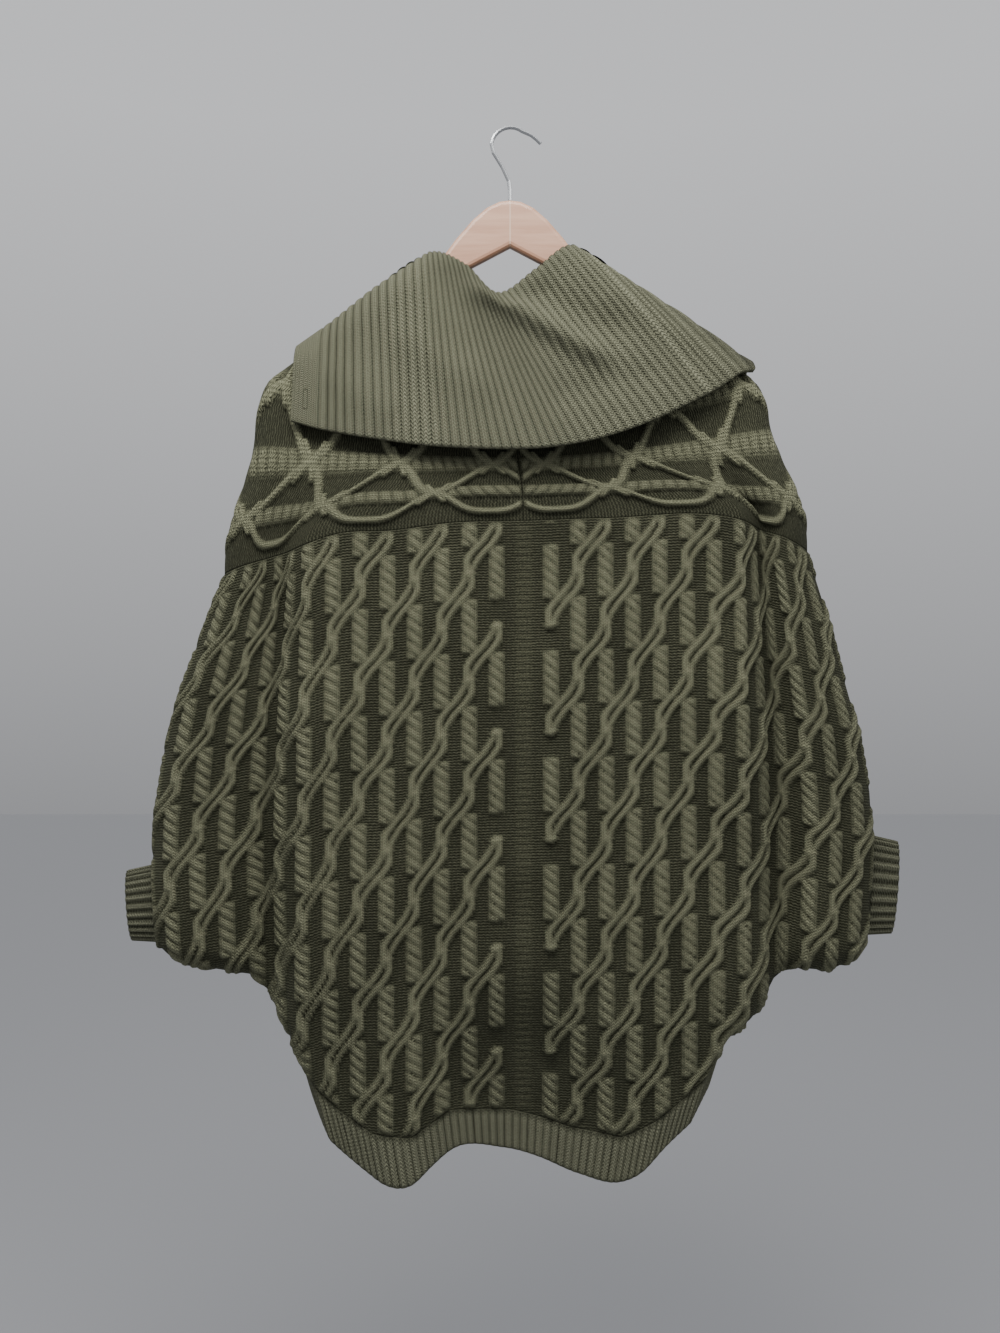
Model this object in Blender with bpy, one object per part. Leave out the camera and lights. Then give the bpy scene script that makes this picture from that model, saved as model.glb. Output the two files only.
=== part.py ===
"""Cable knit poncho sweater on a wooden hanger, in metres, +Z up, front towards -Y.

The origin is the inner top of the hanger's wire hook, where the hanger hangs.
Sizes below are in millimetres. Each cloth piece is a wall with a raised outside
and a plain inside, built from columns that run down the knitting.
"""

import math

import bmesh
import bpy
import numpy as np

MM = 0.001

# Cloth
WALL = 2.8
SEAM_GAP = 0.3
ROUND = 26.0

# Cable pattern of the body panels
CABLE_PITCH = 22.4
CABLE_COUNT = 14
STRAIGHT_CABLES = 8
CENTRE_X = 11.0
CABLE_PERIOD = 87.5
ROPE_START = 43.0
ROPE_HEIGHT = 3.4
KNOT_HEIGHT = 4.2
STRAND_HEIGHT = 3.2

# Yoke lattice
LATTICE_PITCH = 85.0
LATTICE_FIRST = 23.5
CABLE_ON_YOKE = 18.4
LATTICE_HEIGHT = 3.0
ROPE_ROWS = (0.63, 0.80)
LOOP_ROW = 0.93
YOKE_FALL = 122.0
YOKE_JOIN = 0.55
LATTICE_WIDTH = 7.0

# Ribbing
COLLAR_RIB = 8.0
COLLAR_RIB_HEIGHT = 1.6
HEM_RIB = 6.8
HEM_RIB_HEIGHT = 1.4
CUFF_LENGTH = 26.0
CUFF_RIBS = 26

# Wooden hanger
WOOD_THICK = 11.0
HOOK_WIRE = 3.3
HOOK_RADIUS = 16.5

# Outline of the body panels, edge by edge, as seen from the front.
# side: x, z
LEFT_SIDE = (
    (-242, -379),
    (-264, -436),
    (-279, -475),
    (-292, -525),
    (-301, -583),
    (-302, -625),
    (-297, -690),
)
RIGHT_SIDE = (
    (252, -360),
    (270, -418),
    (284, -472),
    (295, -511),
    (304, -562),
    (306, -600),
    (300, -684),
)
# lower edge of the panels: x, z
LOWER_EDGE = (
    (-297, -690),
    (-285, -701),
    (-267, -708),
    (-240, -713),
    (-219, -717),
    (-203, -732),
    (-188, -760),
    (-170, -787),
    (-158, -800),
    (-138, -818),
    (-112, -834),
    (-80, -838),
    (-50, -822),
    (0, -826),
    (50, -838),
    (90, -840),
    (118, -824),
    (140, -808),
    (160, -792),
    (178, -770),
    (200, -755),
    (214, -738),
    (226, -716),
    (240, -711),
    (268, -713),
    (286, -704),
    (300, -684),
)
# seam between yoke and body: x, z
YOKE_SEAM = (
    (-242, -379),
    (-181, -360),
    (-142, -347),
    (-97, -344),
    (-51, -338),
    (8, -336),
    (76, -334),
    (184, -334),
    (252, -360),
)
# hanging edge of the hem band: x, z
HEM_EDGE = (
    (-172, -808),
    (-155, -832),
    (-135, -852),
    (-117, -866),
    (-100, -876),
    (-80, -876),
    (-64, -864),
    (-50, -855),
    (-5, -858),
    (25, -866),
    (55, -875),
    (88, -876),
    (106, -866),
    (124, -848),
    (150, -826),
    (172, -804),
)

# The hem opening runs between these cables, and its hanging edge is drawn in a little;
# at the back it hangs a little higher
HEM_CABLES = (-8.5, 7.5)
HEM_DRAW = 0.93
HEM_BACK_RISE = 6
HEM_SEAM_GAP = SEAM_GAP * 1.8

# Sleeves: how far out the lower edge turns over, over what width that starts, and the
# mouths in the panels' sides, from top to bottom, with half their width in depth
SLEEVE_X = 158
SLEEVE_START = 30
LEFT_MOUTH = (-625, -690)
RIGHT_MOUTH = (-600, -684)
MOUTH_DEPTH = 11.0
CUFF_TURN = (0.95, 0.25, -0.12)

# Depth of the folds in front of the middle of the garment, in cables from the centre:
# cable, depth at the yoke seam, at half height, at the underarm, at the hem
FRONT_FOLDS = (
    (-14, 24, 30, 34, 30),
    (-12, 25, 34, 40, 30),
    (-10.6, 23, 26, 30, 24),
    (-9.6, 22, 16, 14, 20),
    (-8.2, 32, 44, 50, 40),
    (-6.5, 34, 45, 52, 46),
    (-4.5, 32, 40, 46, 52),
    (-2.2, 33, 42, 44, 26),
    (0, 30, 38, 42, 16),
    (2.4, 33, 42, 46, 30),
    (4.6, 32, 41, 48, 50),
    (6.6, 33, 43, 48, 40),
    (8.4, 32, 42, 44, 26),
    (9.8, 18, 14, 16, 22),
    (11.2, 28, 36, 36, 24),
    (13, 26, 34, 36, 26),
    (14, 24, 30, 32, 26),
)
BACK_FOLDS = (
    (-14, 24, 28, 30, 24),
    (-12, 26, 32, 34, 24),
    (-9.8, 22, 18, 20, 20),
    (-8, 30, 36, 38, 26),
    (-4, 30, 34, 36, 32),
    (0, 28, 32, 32, 22),
    (4, 30, 35, 36, 30),
    (8, 30, 36, 36, 26),
    (10, 21, 18, 20, 20),
    (12, 26, 32, 33, 24),
    (14, 24, 28, 30, 24),
)
FOLD_LEVELS = (-350, -540, -700, -840)
# Columns of the plain insides, in cables from the centre
INSIDE_PLACES = (
    -14, -13.4, -12, -10.6, -9.6, -8.2, -6.5, -4.5, -2.2, 0,
    2.4, 4.6, 6.6, 8.4, 9.8, 11.2, 12.6, 13.4, 14,
)

# Top of the shoulders, under the collar: x, z
SHOULDER = (
    (-214, -226),
    (-204, -214),
    (-190, -203),
    (-128, -158),
    (-78, -122),
    (0, -84),
    (78, -126),
    (135, -165),
    (194, -204),
    (206, -214),
    (216, -226),
)
# The shoulders' slope, as cosine and sine, and the cloth's depth over them
SLOPE_COS = 0.84
SLOPE_SIN = 0.54
HANG_DEPTH = 17.0
HANG_GROWTH = 0.07
# Yoke, from neck seam to body seam: share, left x, left z, middle z, right x, right z
YOKE_ROWS = (
    (0.00, -78, -122, -192, 78, -126),
    (0.25, -132, -161, -222, 136, -166),
    (0.45, -206, -217, -258, 209, -217),
    (0.63, -219, -284, -290, 223, -266),
    (0.80, -230, -333, -311, 238, -314),
    (1.00, -242, -379, -336, 252, -360),
)

# Collar, from photo-left to right: upper x, z, lower x, z, how far it stands off in front
COLLAR_ROWS = (
    (-179, -186, -181, -254, 2),
    (-152, -167, -153, -262, 3),
    (-116, -138, -110, -270, 5),
    (-72, -109, -60, -277, 8),
    (-38, -122, 8, -280, 11),
    (-10, -147, 60, -274, 13),
    (22, -126, 110, -258, 10),
    (56, -102, 161, -233, 6),
    (100, -130, 180, -221, 3),
    (150, -162, 193, -212, 2),
    (203, -199, 204, -209, 1),
)
# top of the collar over the shoulders, carried on above the neck: x, z
COLLAR_TOP = (
    (-179, -186),
    (-152, -167),
    (-116, -138),
    (-72, -109),
    (-8, -72),
    (56, -102),
    (100, -130),
    (150, -162),
    (203, -199),
)
COLLAR_NECK = (3, 7)
COLLAR_BACK_DROP = 10.0
COLLAR_CLEARANCE = 7.5
COLLAR_TURN = 9.0
COLLAR_TURN_DEPTH = 5.5
NECK_SEAM_GAP = SEAM_GAP + 0.9
BUTTONHOLE = (-169, -236, 3.6, 16)

# Hanger: half of the top and of the underside, from the middle out: x, z
HANGER_TOP = ((0, -61.2), (9, -62.3), (20, -67.5), (32, -78), (46, -94), (57, -109))
HANGER_UNDER = ((0, -101), (40, -122), (80, -149), (130, -184), (168, -214))
HANGER_HALF = 191

COLOURS = {
    "olive_knit": ((0.105, 0.110, 0.058, 1), 0.95, 0.0),
    "olive_rib": ((0.130, 0.138, 0.075, 1), 0.95, 0.0),
    "beech": ((0.58, 0.39, 0.27, 1), 0.5, 0.0),
    "steel": ((0.62, 0.62, 0.62, 1), 0.3, 1.0),
}


def material(name):
    """A plain surface of one of the named colours."""
    found = bpy.data.materials.get(name)
    if found:
        return found
    colour, rough, metal = COLOURS[name]
    made = bpy.data.materials.new(name)
    made.use_nodes = True
    shader = made.node_tree.nodes["Principled BSDF"]
    shader.inputs["Base Color"].default_value = colour
    shader.inputs["Roughness"].default_value = rough
    shader.inputs["Metallic"].default_value = metal
    return made


def curve(rows, at, column):
    """The value of a table's column at a place, along its first column, without corners."""
    table = np.array(rows, dtype=float)
    keys = table[:, 0]
    values = table[:, column]
    slopes = np.gradient(values, keys)
    place = np.clip(at, keys[0], keys[-1])
    i = np.clip(np.searchsorted(keys, place, side="right") - 1, 0, len(keys) - 2)
    span = keys[i + 1] - keys[i]
    t = (place - keys[i]) / span
    low = (2 * t**3 - 3 * t**2 + 1) * values[i] + (t**3 - 2 * t**2 + t) * span * slopes[i]
    high = (3 * t**2 - 2 * t**3) * values[i + 1] + (t**3 - t**2) * span * slopes[i + 1]
    return low + high


def side_x(z, left):
    """Where the panels' side lies at a height, straight between the table's points."""
    table = np.array(LEFT_SIDE if left else RIGHT_SIDE, dtype=float)
    return np.interp(-z, -table[:, 1], table[:, 0])


def lower_z(x):
    """Height of the panels' lower edge at x."""
    table = np.array(LOWER_EDGE, dtype=float)
    return np.interp(x, table[:, 0], table[:, 1])


def seam_z(x):
    """Height of the yoke seam at x."""
    return curve(YOKE_SEAM, x, 1)


def cable_x(k, z):
    """x of cable k at a height: straight in the middle, fanned out in the sleeves."""
    k = np.asarray(k, dtype=float)
    side = np.where(k < 0, side_x(z, True), side_x(z, False))
    straight = CENTRE_X + np.sign(k) * STRAIGHT_CABLES * CABLE_PITCH
    share = (np.abs(k) - STRAIGHT_CABLES) / (CABLE_COUNT - STRAIGHT_CABLES)
    fanned = straight + (side - straight) * share
    return np.where(np.abs(k) <= STRAIGHT_CABLES, CENTRE_X + k * CABLE_PITCH, fanned)


def fold_depth(k, z, folds):
    """Depth of the folds at cable k and height z, between the four levels of the table."""
    levels = [curve(folds, k, column) for column in (1, 2, 3, 4)]
    drop = np.interp(-z, [-level for level in FOLD_LEVELS], [0, 1, 2, 3])
    i = int(min(drop, 2.999))
    t = drop - i
    t = t * t * (3 - 2 * t)
    return levels[i] * (1 - t) + levels[i + 1] * t


def rounding(gap):
    """Share of the full depth, and of the sideways lean, at a distance from an edge."""
    q = min(max(gap / ROUND, 0.0), 1.0)
    return math.sqrt(max(1 - (1 - q) ** 2, 0.0)), 1 - q


def cuff_half(z, left):
    """Half the width in depth of the cuff's opening in the panels' side at a height."""
    top, low = LEFT_MOUTH if left else RIGHT_MOUTH
    share = (z - top) / (low - top)
    if share <= 0 or share >= 1:
        return 0.0
    return MOUTH_DEPTH * math.sqrt(math.sin(math.pi * share))


def panel_point(k, z, front, lift):
    """A point of a body panel, moved out of its surface by lift (inwards if negative).

    The panel stands off the middle plane by the depth of its folds. Near the sides and
    the sleeve's lower edge it turns round to meet the other panel.
    """
    folds = FRONT_FOLDS if front else BACK_FOLDS
    x = float(cable_x(k, z))
    depth = float(fold_depth(k, z, folds))
    left = k < 0
    side_gap = abs(float(side_x(z, left)) - x)
    side_share, side_lean = rounding(side_gap)
    low_gap = z - float(lower_z(x))
    on_sleeve = abs(x) > SLEEVE_X
    low_share, low_lean = rounding(low_gap) if on_sleeve else (1.0, 0.0)
    fade = min(max((abs(x) - SLEEVE_X) / SLEEVE_START, 0.0), 1.0)
    low_share = 1 - (1 - low_share) * fade
    low_lean *= fade
    share = min(side_share, low_share)
    edge = cuff_half(z, left)
    lean = max(side_lean, low_lean)
    out = np.array([(-side_lean if left else side_lean), -low_lean])
    length = float(np.hypot(out[0], out[1]))
    if length > 0:
        out = out / length * lean
    facing = math.sqrt(max(1 - lean * lean, 0.0))
    sign = -1 if front else 1
    y = sign * (edge + (depth - edge) * share + lift * facing)
    if share < 0.05:
        y += sign * SEAM_GAP / 2
    return np.array([x + out[0] * lift, y, z + out[1] * lift])


def end_height(k):
    """Height at which cable k meets the panels' lower edge."""
    z = -600.0
    for _ in range(40):
        z = 0.5 * z + 0.5 * float(lower_z(cable_x(k, z)))
    return z


def cable_heights(k, top, bottom):
    """Heights and raises along one column: rope, knot, rope on a cable, and between
    two cables the strand that crosses down to the left from knot to knot."""
    cable = abs(k - round(k)) < 0.25
    even = int(round(math.ceil(k - 0.25))) % 2 == 0
    rope = ROPE_START + (CABLE_PERIOD / 2 if even else 0)
    knot = rope - CABLE_PERIOD / 2
    if cable:
        steps = ((knot, KNOT_HEIGHT), (rope - 19, 2.6), (rope, ROPE_HEIGHT), (rope + 19, 2.6))
    else:
        strand = knot + CABLE_PERIOD / 4
        steps = ((strand - 12, 0.0), (strand, STRAND_HEIGHT), (strand + 12, 0.0), (strand + 44, 0.0))
    placed = []
    for turn in range(-2, 9):
        for along, raise_by in steps:
            z = top - (along + turn * CABLE_PERIOD)
            if bottom + 7 < z < top - 5:
                placed.append((z, raise_by))
    placed.sort(reverse=True)
    return placed


def body_columns(front):
    """The outside of a body panel: a column for each cable and for each gap between."""
    columns = []
    for k in cable_places():
        top = float(seam_z(cable_x(k, -355))) - SEAM_GAP
        bottom = end_height(k)
        rows = [(top, 0.5)]
        rows += cable_heights(k, top, bottom) if abs(k) < CABLE_COUNT - 0.2 else []
        if abs(k) >= CABLE_COUNT - 0.2:
            rows += [(z, 0.0) for z in np.linspace(top, bottom, 20)[1:-1]]
        on_sleeve = abs(float(cable_x(k, bottom))) > SLEEVE_X
        if on_sleeve:
            rows = [row for row in rows if row[0] > bottom + 22]
            rows += [(bottom + 14, 1.5), (bottom + 5, 0.8), (bottom + 1, 0.2)]
        rows.append((bottom, 0.0))
        flat = 0.0 if abs(k) >= CABLE_COUNT - 0.2 else 1.0
        columns.append([panel_point(k, z, front, lift * flat) for z, lift in rows])
    return columns


def body_inside(front):
    """The plain inside of a body panel, with few columns."""
    columns = []
    for k in INSIDE_PLACES:
        top = float(seam_z(cable_x(k, -355))) - SEAM_GAP
        bottom = end_height(k)
        on_sleeve = abs(float(cable_x(k, bottom))) > SLEEVE_X
        rows = list(np.linspace(top, bottom + (24 if on_sleeve else 0), 9))
        rows += [bottom + 10, bottom] if on_sleeve else []
        columns.append([panel_point(k, z, front, -WALL) for z in rows])
    return columns


class Shell:
    """Collects points and faces of one closed wall."""

    def __init__(self):
        self.points = []
        self.faces = []

    def line(self, points):
        start = len(self.points)
        self.points += [tuple(float(c) for c in point) for point in points]
        return list(range(start, len(self.points)))

    def lace(self, a, b, marks=None):
        """Triangles between two lines of points, keeping level along both: by their
        lengths, or by a mark for each point."""
        along_a, along_b = marks if marks else (self.lengths(a), self.lengths(b))
        i = 0
        j = 0
        while i < len(a) - 1 or j < len(b) - 1:
            step_a = along_a[i + 1] if i < len(a) - 1 else math.inf
            step_b = along_b[j + 1] if j < len(b) - 1 else math.inf
            if step_a <= step_b:
                self.face(a[i], a[i + 1], b[j])
                i += 1
            else:
                self.face(a[i], b[j + 1], b[j])
                j += 1

    def face(self, a, b, c):
        if len({a, b, c}) == 3:
            self.faces.append((a, b, c))

    def lengths(self, line):
        points = np.array([self.points[i] for i in line])
        steps = np.linalg.norm(np.diff(points, axis=0), axis=1)
        total = np.concatenate(([0.0], np.cumsum(steps)))
        return total / total[-1]

    def skin(self, columns):
        """A surface through columns of points; returns the lines of its columns."""
        lines = [self.line(column) for column in columns]
        for a, b in zip(lines, lines[1:]):
            self.lace(a, b)
        return lines

    def ring_skin(self, columns):
        lines = self.skin(columns)
        self.lace(lines[-1], lines[0])
        return lines

    def wall(self, outer, inner, marks=None):
        """Closes the rim between an outer and an inner surface."""
        self.lace([line[0] for line in outer], [line[0] for line in inner], marks)
        self.lace([line[-1] for line in outer], [line[-1] for line in inner], marks)
        self.lace(outer[0], inner[0])
        self.lace(outer[-1], inner[-1])

    def ring_wall(self, outer, inner):
        for end in (0, -1):
            a = [line[end] for line in outer]
            b = [line[end] for line in inner]
            self.lace(a + a[:1], b + b[:1])

    def make(self, name, surface):
        """The finished object, with its faces turned outwards and shaded smooth."""
        mesh = bpy.data.meshes.new(name)
        mesh.from_pydata([tuple(c * MM for c in point) for point in self.points], [], self.faces)
        work = bmesh.new()
        work.from_mesh(mesh)
        bmesh.ops.remove_doubles(work, verts=work.verts, dist=0.00002)
        bmesh.ops.recalc_face_normals(work, faces=work.faces)
        if work.calc_volume(signed=True) < 0:
            bmesh.ops.reverse_faces(work, faces=work.faces)
        work.to_mesh(mesh)
        work.free()
        mesh.shade_smooth()
        mesh.set_sharp_from_angle(angle=math.radians(50))
        mesh.materials.append(material(surface))
        made = bpy.data.objects.new(name, mesh)
        bpy.context.scene.collection.objects.link(made)
        return made


def body_panel(name, front):
    """Front or back of the poncho, with both sleeves knitted on."""
    shell = Shell()
    outer = shell.skin(body_columns(front))
    inner = shell.skin(body_inside(front))
    shell.wall(outer, inner, (cable_places(), INSIDE_PLACES))
    return shell.make(name, "olive_knit")


def shoulder_drop(x, z):
    """How far a point lies below the top of the shoulders."""
    table = np.array(SHOULDER, dtype=float)
    return float(np.interp(x, table[:, 0], table[:, 1])) - z


def hang_depth(x, z):
    """Depth of the yoke off the middle: thin over the hanger, wider as it drops."""
    return HANG_DEPTH + HANG_GROWTH * max(shoulder_drop(x, z), 0.0)


def yoke_point(k, share, front, lift):
    """A point of the yoke on the line of cable k, at a share of the way down."""
    w = k / CABLE_COUNT
    left_x, left_z, middle_z, right_x, right_z = [
        float(curve(YOKE_ROWS, share, column)) for column in range(1, 6)
    ]
    centre = CENTRE_X * share
    edge_x = left_x if w < 0 else right_x
    edge_z = left_z if w < 0 else right_z
    if share <= 0.45:
        edge_z = shoulder_drop(edge_x, 0.0)
    x = centre + abs(w) * (edge_x - centre)
    z = middle_z + (edge_z - middle_z) * abs(w) ** 1.6
    top_gap = SLOPE_COS * shoulder_drop(x, z)
    side_gap = abs(edge_x - x)
    top_part, top_lean = rounding(top_gap)
    side_part, side_lean = rounding(side_gap) if share > 0.4 else (1.0, 0.0)
    part = min(top_part, side_part)
    lean = max(top_lean, side_lean)
    facing = math.sqrt(max(1 - lean * lean, 0.0))
    out = np.array([math.copysign(side_lean + SLOPE_SIN * top_lean, w), SLOPE_COS * top_lean])
    length = float(np.hypot(out[0], out[1]))
    out = out / length * lean if length > 0 else out
    sign = -1 if front else 1
    y = sign * (hang_depth(x, z) * part + lift * facing)
    if part < 0.05:
        y += sign * SEAM_GAP / 2
    own = np.array([x + out[0] * lift, y, z + out[1] * lift])
    if share < YOKE_JOIN:
        return own
    pull = (share - YOKE_JOIN) / (1 - YOKE_JOIN)
    pull = pull * pull * (3 - 2 * pull)
    top = float(seam_z(cable_x(k, -355)))
    drop = (1 - share) * YOKE_FALL * (1.0 + 0.5 * abs(w) ** 2)
    met = panel_point(k, top + drop, front, lift)
    return own * (1 - pull) + met * pull


def lattice_raise(across, share):
    """Height of the lattice on the yoke: two rows of rope with knots, crossed by cords
    that swing from knot to knot and hang in loops below the lower row."""
    turn = (abs(across) - LATTICE_FIRST) / LATTICE_PITCH
    row_a, row_b = ROPE_ROWS
    swing = 0.5 - 0.5 * math.cos(2 * math.pi * turn)
    cord = row_a + (row_b - row_a) * swing
    loop = LOOP_ROW - (LOOP_ROW - row_b) * swing
    best = 0.0
    for row, thick in ((row_a, 0.8), (row_b, 0.8), (cord, 1.0), (loop, 1.0)):
        gap = abs(share - row) * YOKE_FALL / LATTICE_WIDTH
        best = max(best, thick * LATTICE_HEIGHT * math.exp(-gap * gap * 1.4))
    return best


def cable_places():
    """Where the columns of a panel run: on each cable, between two, and at the edges."""
    places = np.arange(-CABLE_COUNT + 0.5, CABLE_COUNT, 0.5)
    ends = (CABLE_COUNT, CABLE_COUNT - 0.12)
    return np.concatenate(([-ends[0], -ends[1]], places, [ends[1], ends[0]]))


def yoke_piece(name, front, start, stop):
    """One piece of the yoke between two places round it, in cables from the middle."""
    shares = (0.0, 0.2, 0.4, 0.52, 0.63, 0.715, 0.80, 0.865, 0.93, 1.0)
    inside_shares = (0.0, 0.2, 0.4, 0.6, 0.8, 1.0)
    outer_places = [start] + [k for k in cable_places() if start + 0.05 < k < stop - 0.05] + [stop]
    inner_places = [start] + [k for k in INSIDE_PLACES if start + 0.05 < k < stop - 0.05] + [stop]
    outer = []
    for k in outer_places:
        column = []
        for share in shares:
            edge = min(1.0, (CABLE_COUNT - abs(k)) * 0.8)
            raised = 0.5 < share < 0.99
            lift = lattice_raise(k * CABLE_ON_YOKE, share) * edge if raised else 0.0
            column.append(yoke_point(k, share, front, lift))
        outer.append(column)
    inner = []
    for k in inner_places:
        inner.append([yoke_point(k, share, front, -WALL) for share in inside_shares])
    shell = Shell()
    shell.wall(shell.skin(outer), shell.skin(inner), (outer_places, inner_places))
    return shell.make(name, "olive_knit")


def collar_row(s):
    """The collar's table at place s, counted in rows from photo-left."""
    table = np.array([(i,) + row for i, row in enumerate(COLLAR_ROWS)], dtype=float)
    return [float(curve(table, s, column)) for column in range(1, 6)]


def collar_gap(x, z):
    """Distance of a point below the collar's top line."""
    table = np.array(COLLAR_TOP, dtype=float)
    return SLOPE_COS * (float(np.interp(x, table[:, 0], table[:, 1])) - z)


def collar_point(s, r, front, lift):
    """A point of the collar's outside: r runs from the top, 0, to the free edge, 1."""
    top_x, top_z, low_x, low_z, off = collar_row(s)
    if not front:
        low_z -= COLLAR_BACK_DROP * math.sin(math.pi * s / 10) ** 2
        off *= 0.5
    x = top_x + (low_x - top_x) * r
    z = top_z + (low_z - top_z) * r
    gap = collar_gap(x, z)
    part, lean = rounding(gap)
    facing = math.sqrt(max(1 - lean * lean, 0.0))
    stand_off = COLLAR_CLEARANCE + off * r
    on_neck = neck_share(s)
    fold = min(r * math.hypot(low_x - top_x, low_z - top_z) / COLLAR_TURN, 1.0)
    turned = math.sqrt(max(1 - (1 - fold) ** 2, 0.0))
    depth = (hang_depth(x, z) + stand_off) * part
    depth -= COLLAR_TURN_DEPTH * part * (1 - turned) * on_neck
    sign = -1 if front else 1
    slope = math.copysign(SLOPE_SIN * lean, x)
    up = SLOPE_COS * lean
    rise = (1 - turned) * on_neck
    facing *= math.sqrt(max(1 - rise * rise, 0.0))
    return np.array([x + slope * lift, sign * (depth + lift * facing), z + max(up, rise) * lift])


def neck_share(s):
    """1 where the collar folds over at the neck, 0 over the shoulders."""
    low, high = COLLAR_NECK
    return min(max(min(s - low, high - s) / 0.4, 0.0), 1.0)


def neck_edge(s, front, lift):
    """The neck seam of the yoke under place s of the collar."""
    low, high = COLLAR_NECK
    w = (s - low) / (high - low) * 2 - 1
    point = yoke_point(w * CABLE_COUNT, 0.0, front, lift)
    point[2] += NECK_SEAM_GAP
    if s in (low, high):
        point[1] = 0.0
    return point


def collar_column(s, kind, inside):
    """One line of the collar from its free edge up and over: down the back over a
    shoulder, down the stand at the neck."""
    steps = (1.0, 0.5, 0.08, 0.0) if inside else (1.0, 0.72, 0.44, 0.18, 0.05, 0.0)
    rib = 0 if inside else math.cos(math.pi * collar_ribs(s))
    lift = -WALL if inside else (0.5 + 0.5 * rib) * COLLAR_RIB_HEIGHT
    front = kind != "back"
    path = [collar_point(s, r, front, lift) for r in steps]
    if kind == "over":
        path += [collar_point(s, r, False, lift) for r in reversed(steps[:-1])]
        return path
    top = collar_point(s, 0.0, front, lift)
    low = neck_edge(s, front, 0.0 if inside else -WALL)
    for share in (0.45, 1.0):
        path.append(top + (low - top) * share)
    if kind == "front" or kind == "back":
        path[-2][1] = low[1] * 0.7 + top[1] * 0.3
    return path


def collar_ribs(s):
    """Ribs counted along the collar's free edge up to place s, two lines to a rib."""
    lows = np.array([(row[2], row[3]) for row in COLLAR_ROWS], dtype=float)
    steps = np.concatenate(([0.0], np.cumsum(np.linalg.norm(np.diff(lows, axis=0), axis=1))))
    return round(float(np.interp(s, range(len(steps)), steps)) / COLLAR_RIB * 2)


def collar_places(low, high, inside):
    """Places along the collar, one for each crest and each groove of the ribs."""
    lows = np.array([(row[2], row[3]) for row in COLLAR_ROWS], dtype=float)
    steps = np.concatenate(([0.0], np.cumsum(np.linalg.norm(np.diff(lows, axis=0), axis=1))))
    pitch = COLLAR_RIB / 2 * (4 if inside else 1)
    a, b = np.interp((low, high), range(len(steps)), steps)
    marks = np.arange(math.ceil(a / pitch + 0.3), math.floor(b / pitch - 0.3) + 1) * pitch
    return [low] + [float(np.interp(mark, steps, range(len(steps)))) for mark in marks] + [high]


def collar():
    """The fold-over collar: over both shoulders, and turned down over a stand at the neck."""
    shell = Shell()
    low, high = COLLAR_NECK
    last = len(COLLAR_ROWS) - 1
    skins = []
    for inside in (False, True):
        parts = {}
        for name, kind, a, b in (
            ("left", "over", 0, low),
            ("front", "front", low, high),
            ("back", "back", low, high),
            ("right", "over", high, last),
        ):
            places = collar_places(a, b, inside)
            parts[name] = shell.skin([collar_column(s, kind, inside) for s in places])
        skins.append(parts)
    outer, inner = skins
    for name, end in (("left", 0), ("front", 0), ("right", 0), ("left", -1), ("back", 0), ("right", -1)):
        shell.lace([line[end] for line in outer[name]], [line[end] for line in inner[name]])
    for name in ("front", "back"):
        shell.lace([line[-1] for line in outer[name]], [line[-1] for line in inner[name]])
    shell.lace(outer["left"][0], inner["left"][0])
    shell.lace(outer["right"][-1], inner["right"][-1])
    made = shell.make("collar", "olive_rib")
    x, z, width, height = BUTTONHOLE
    cutter = box("buttonhole_cutter", (x, -30, z), (width, 60, height))
    cutter.hide_render = True
    cutter.display_type = "WIRE"
    cut = made.modifiers.new("buttonhole", "BOOLEAN")
    cut.operation = "DIFFERENCE"
    cut.object = cutter
    return made


def box(name, centre, size):
    """A plain box, its size in the mesh and not in the object's scale."""
    mesh = bpy.data.meshes.new(name)
    work = bmesh.new()
    bmesh.ops.create_cube(work, size=1.0)
    for vert in work.verts:
        vert.co = [(c + v * s) * MM for c, v, s in zip(centre, vert.co, size)]
    work.to_mesh(mesh)
    work.free()
    made = bpy.data.objects.new(name, mesh)
    bpy.context.scene.collection.objects.link(made)
    return made


def along(points, count):
    """The given number of points spaced evenly along a line of points."""
    points = np.array(points)
    total = np.concatenate(([0.0], np.cumsum(np.linalg.norm(np.diff(points, axis=0), axis=1))))
    marks = np.linspace(0, total[-1], count)
    return np.stack([np.interp(marks, total, points[:, axis]) for axis in range(3)], axis=1)


def hem_places(places):
    """The columns of a panel that end over the hem opening."""
    first, last = HEM_CABLES
    return [first] + [k for k in places if first + 0.2 < k < last - 0.2] + [last]


def panel_edge(front, lift, places):
    """The panels' lower edge at some places, from left to right."""
    return [panel_point(k, end_height(k), front, lift) for k in places]


def hem_low(point, front, lift):
    """Where the hem band's hanging edge lies below a point of the panels' edge."""
    x = point[0] * HEM_DRAW
    table = np.array(HEM_EDGE, dtype=float)
    z = float(np.interp(x, table[:, 0], table[:, 1]))
    y = point[1]
    if not front:
        z += HEM_BACK_RISE
    sign = -1 if front else 1
    return np.array([x, y + sign * lift, z])


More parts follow.
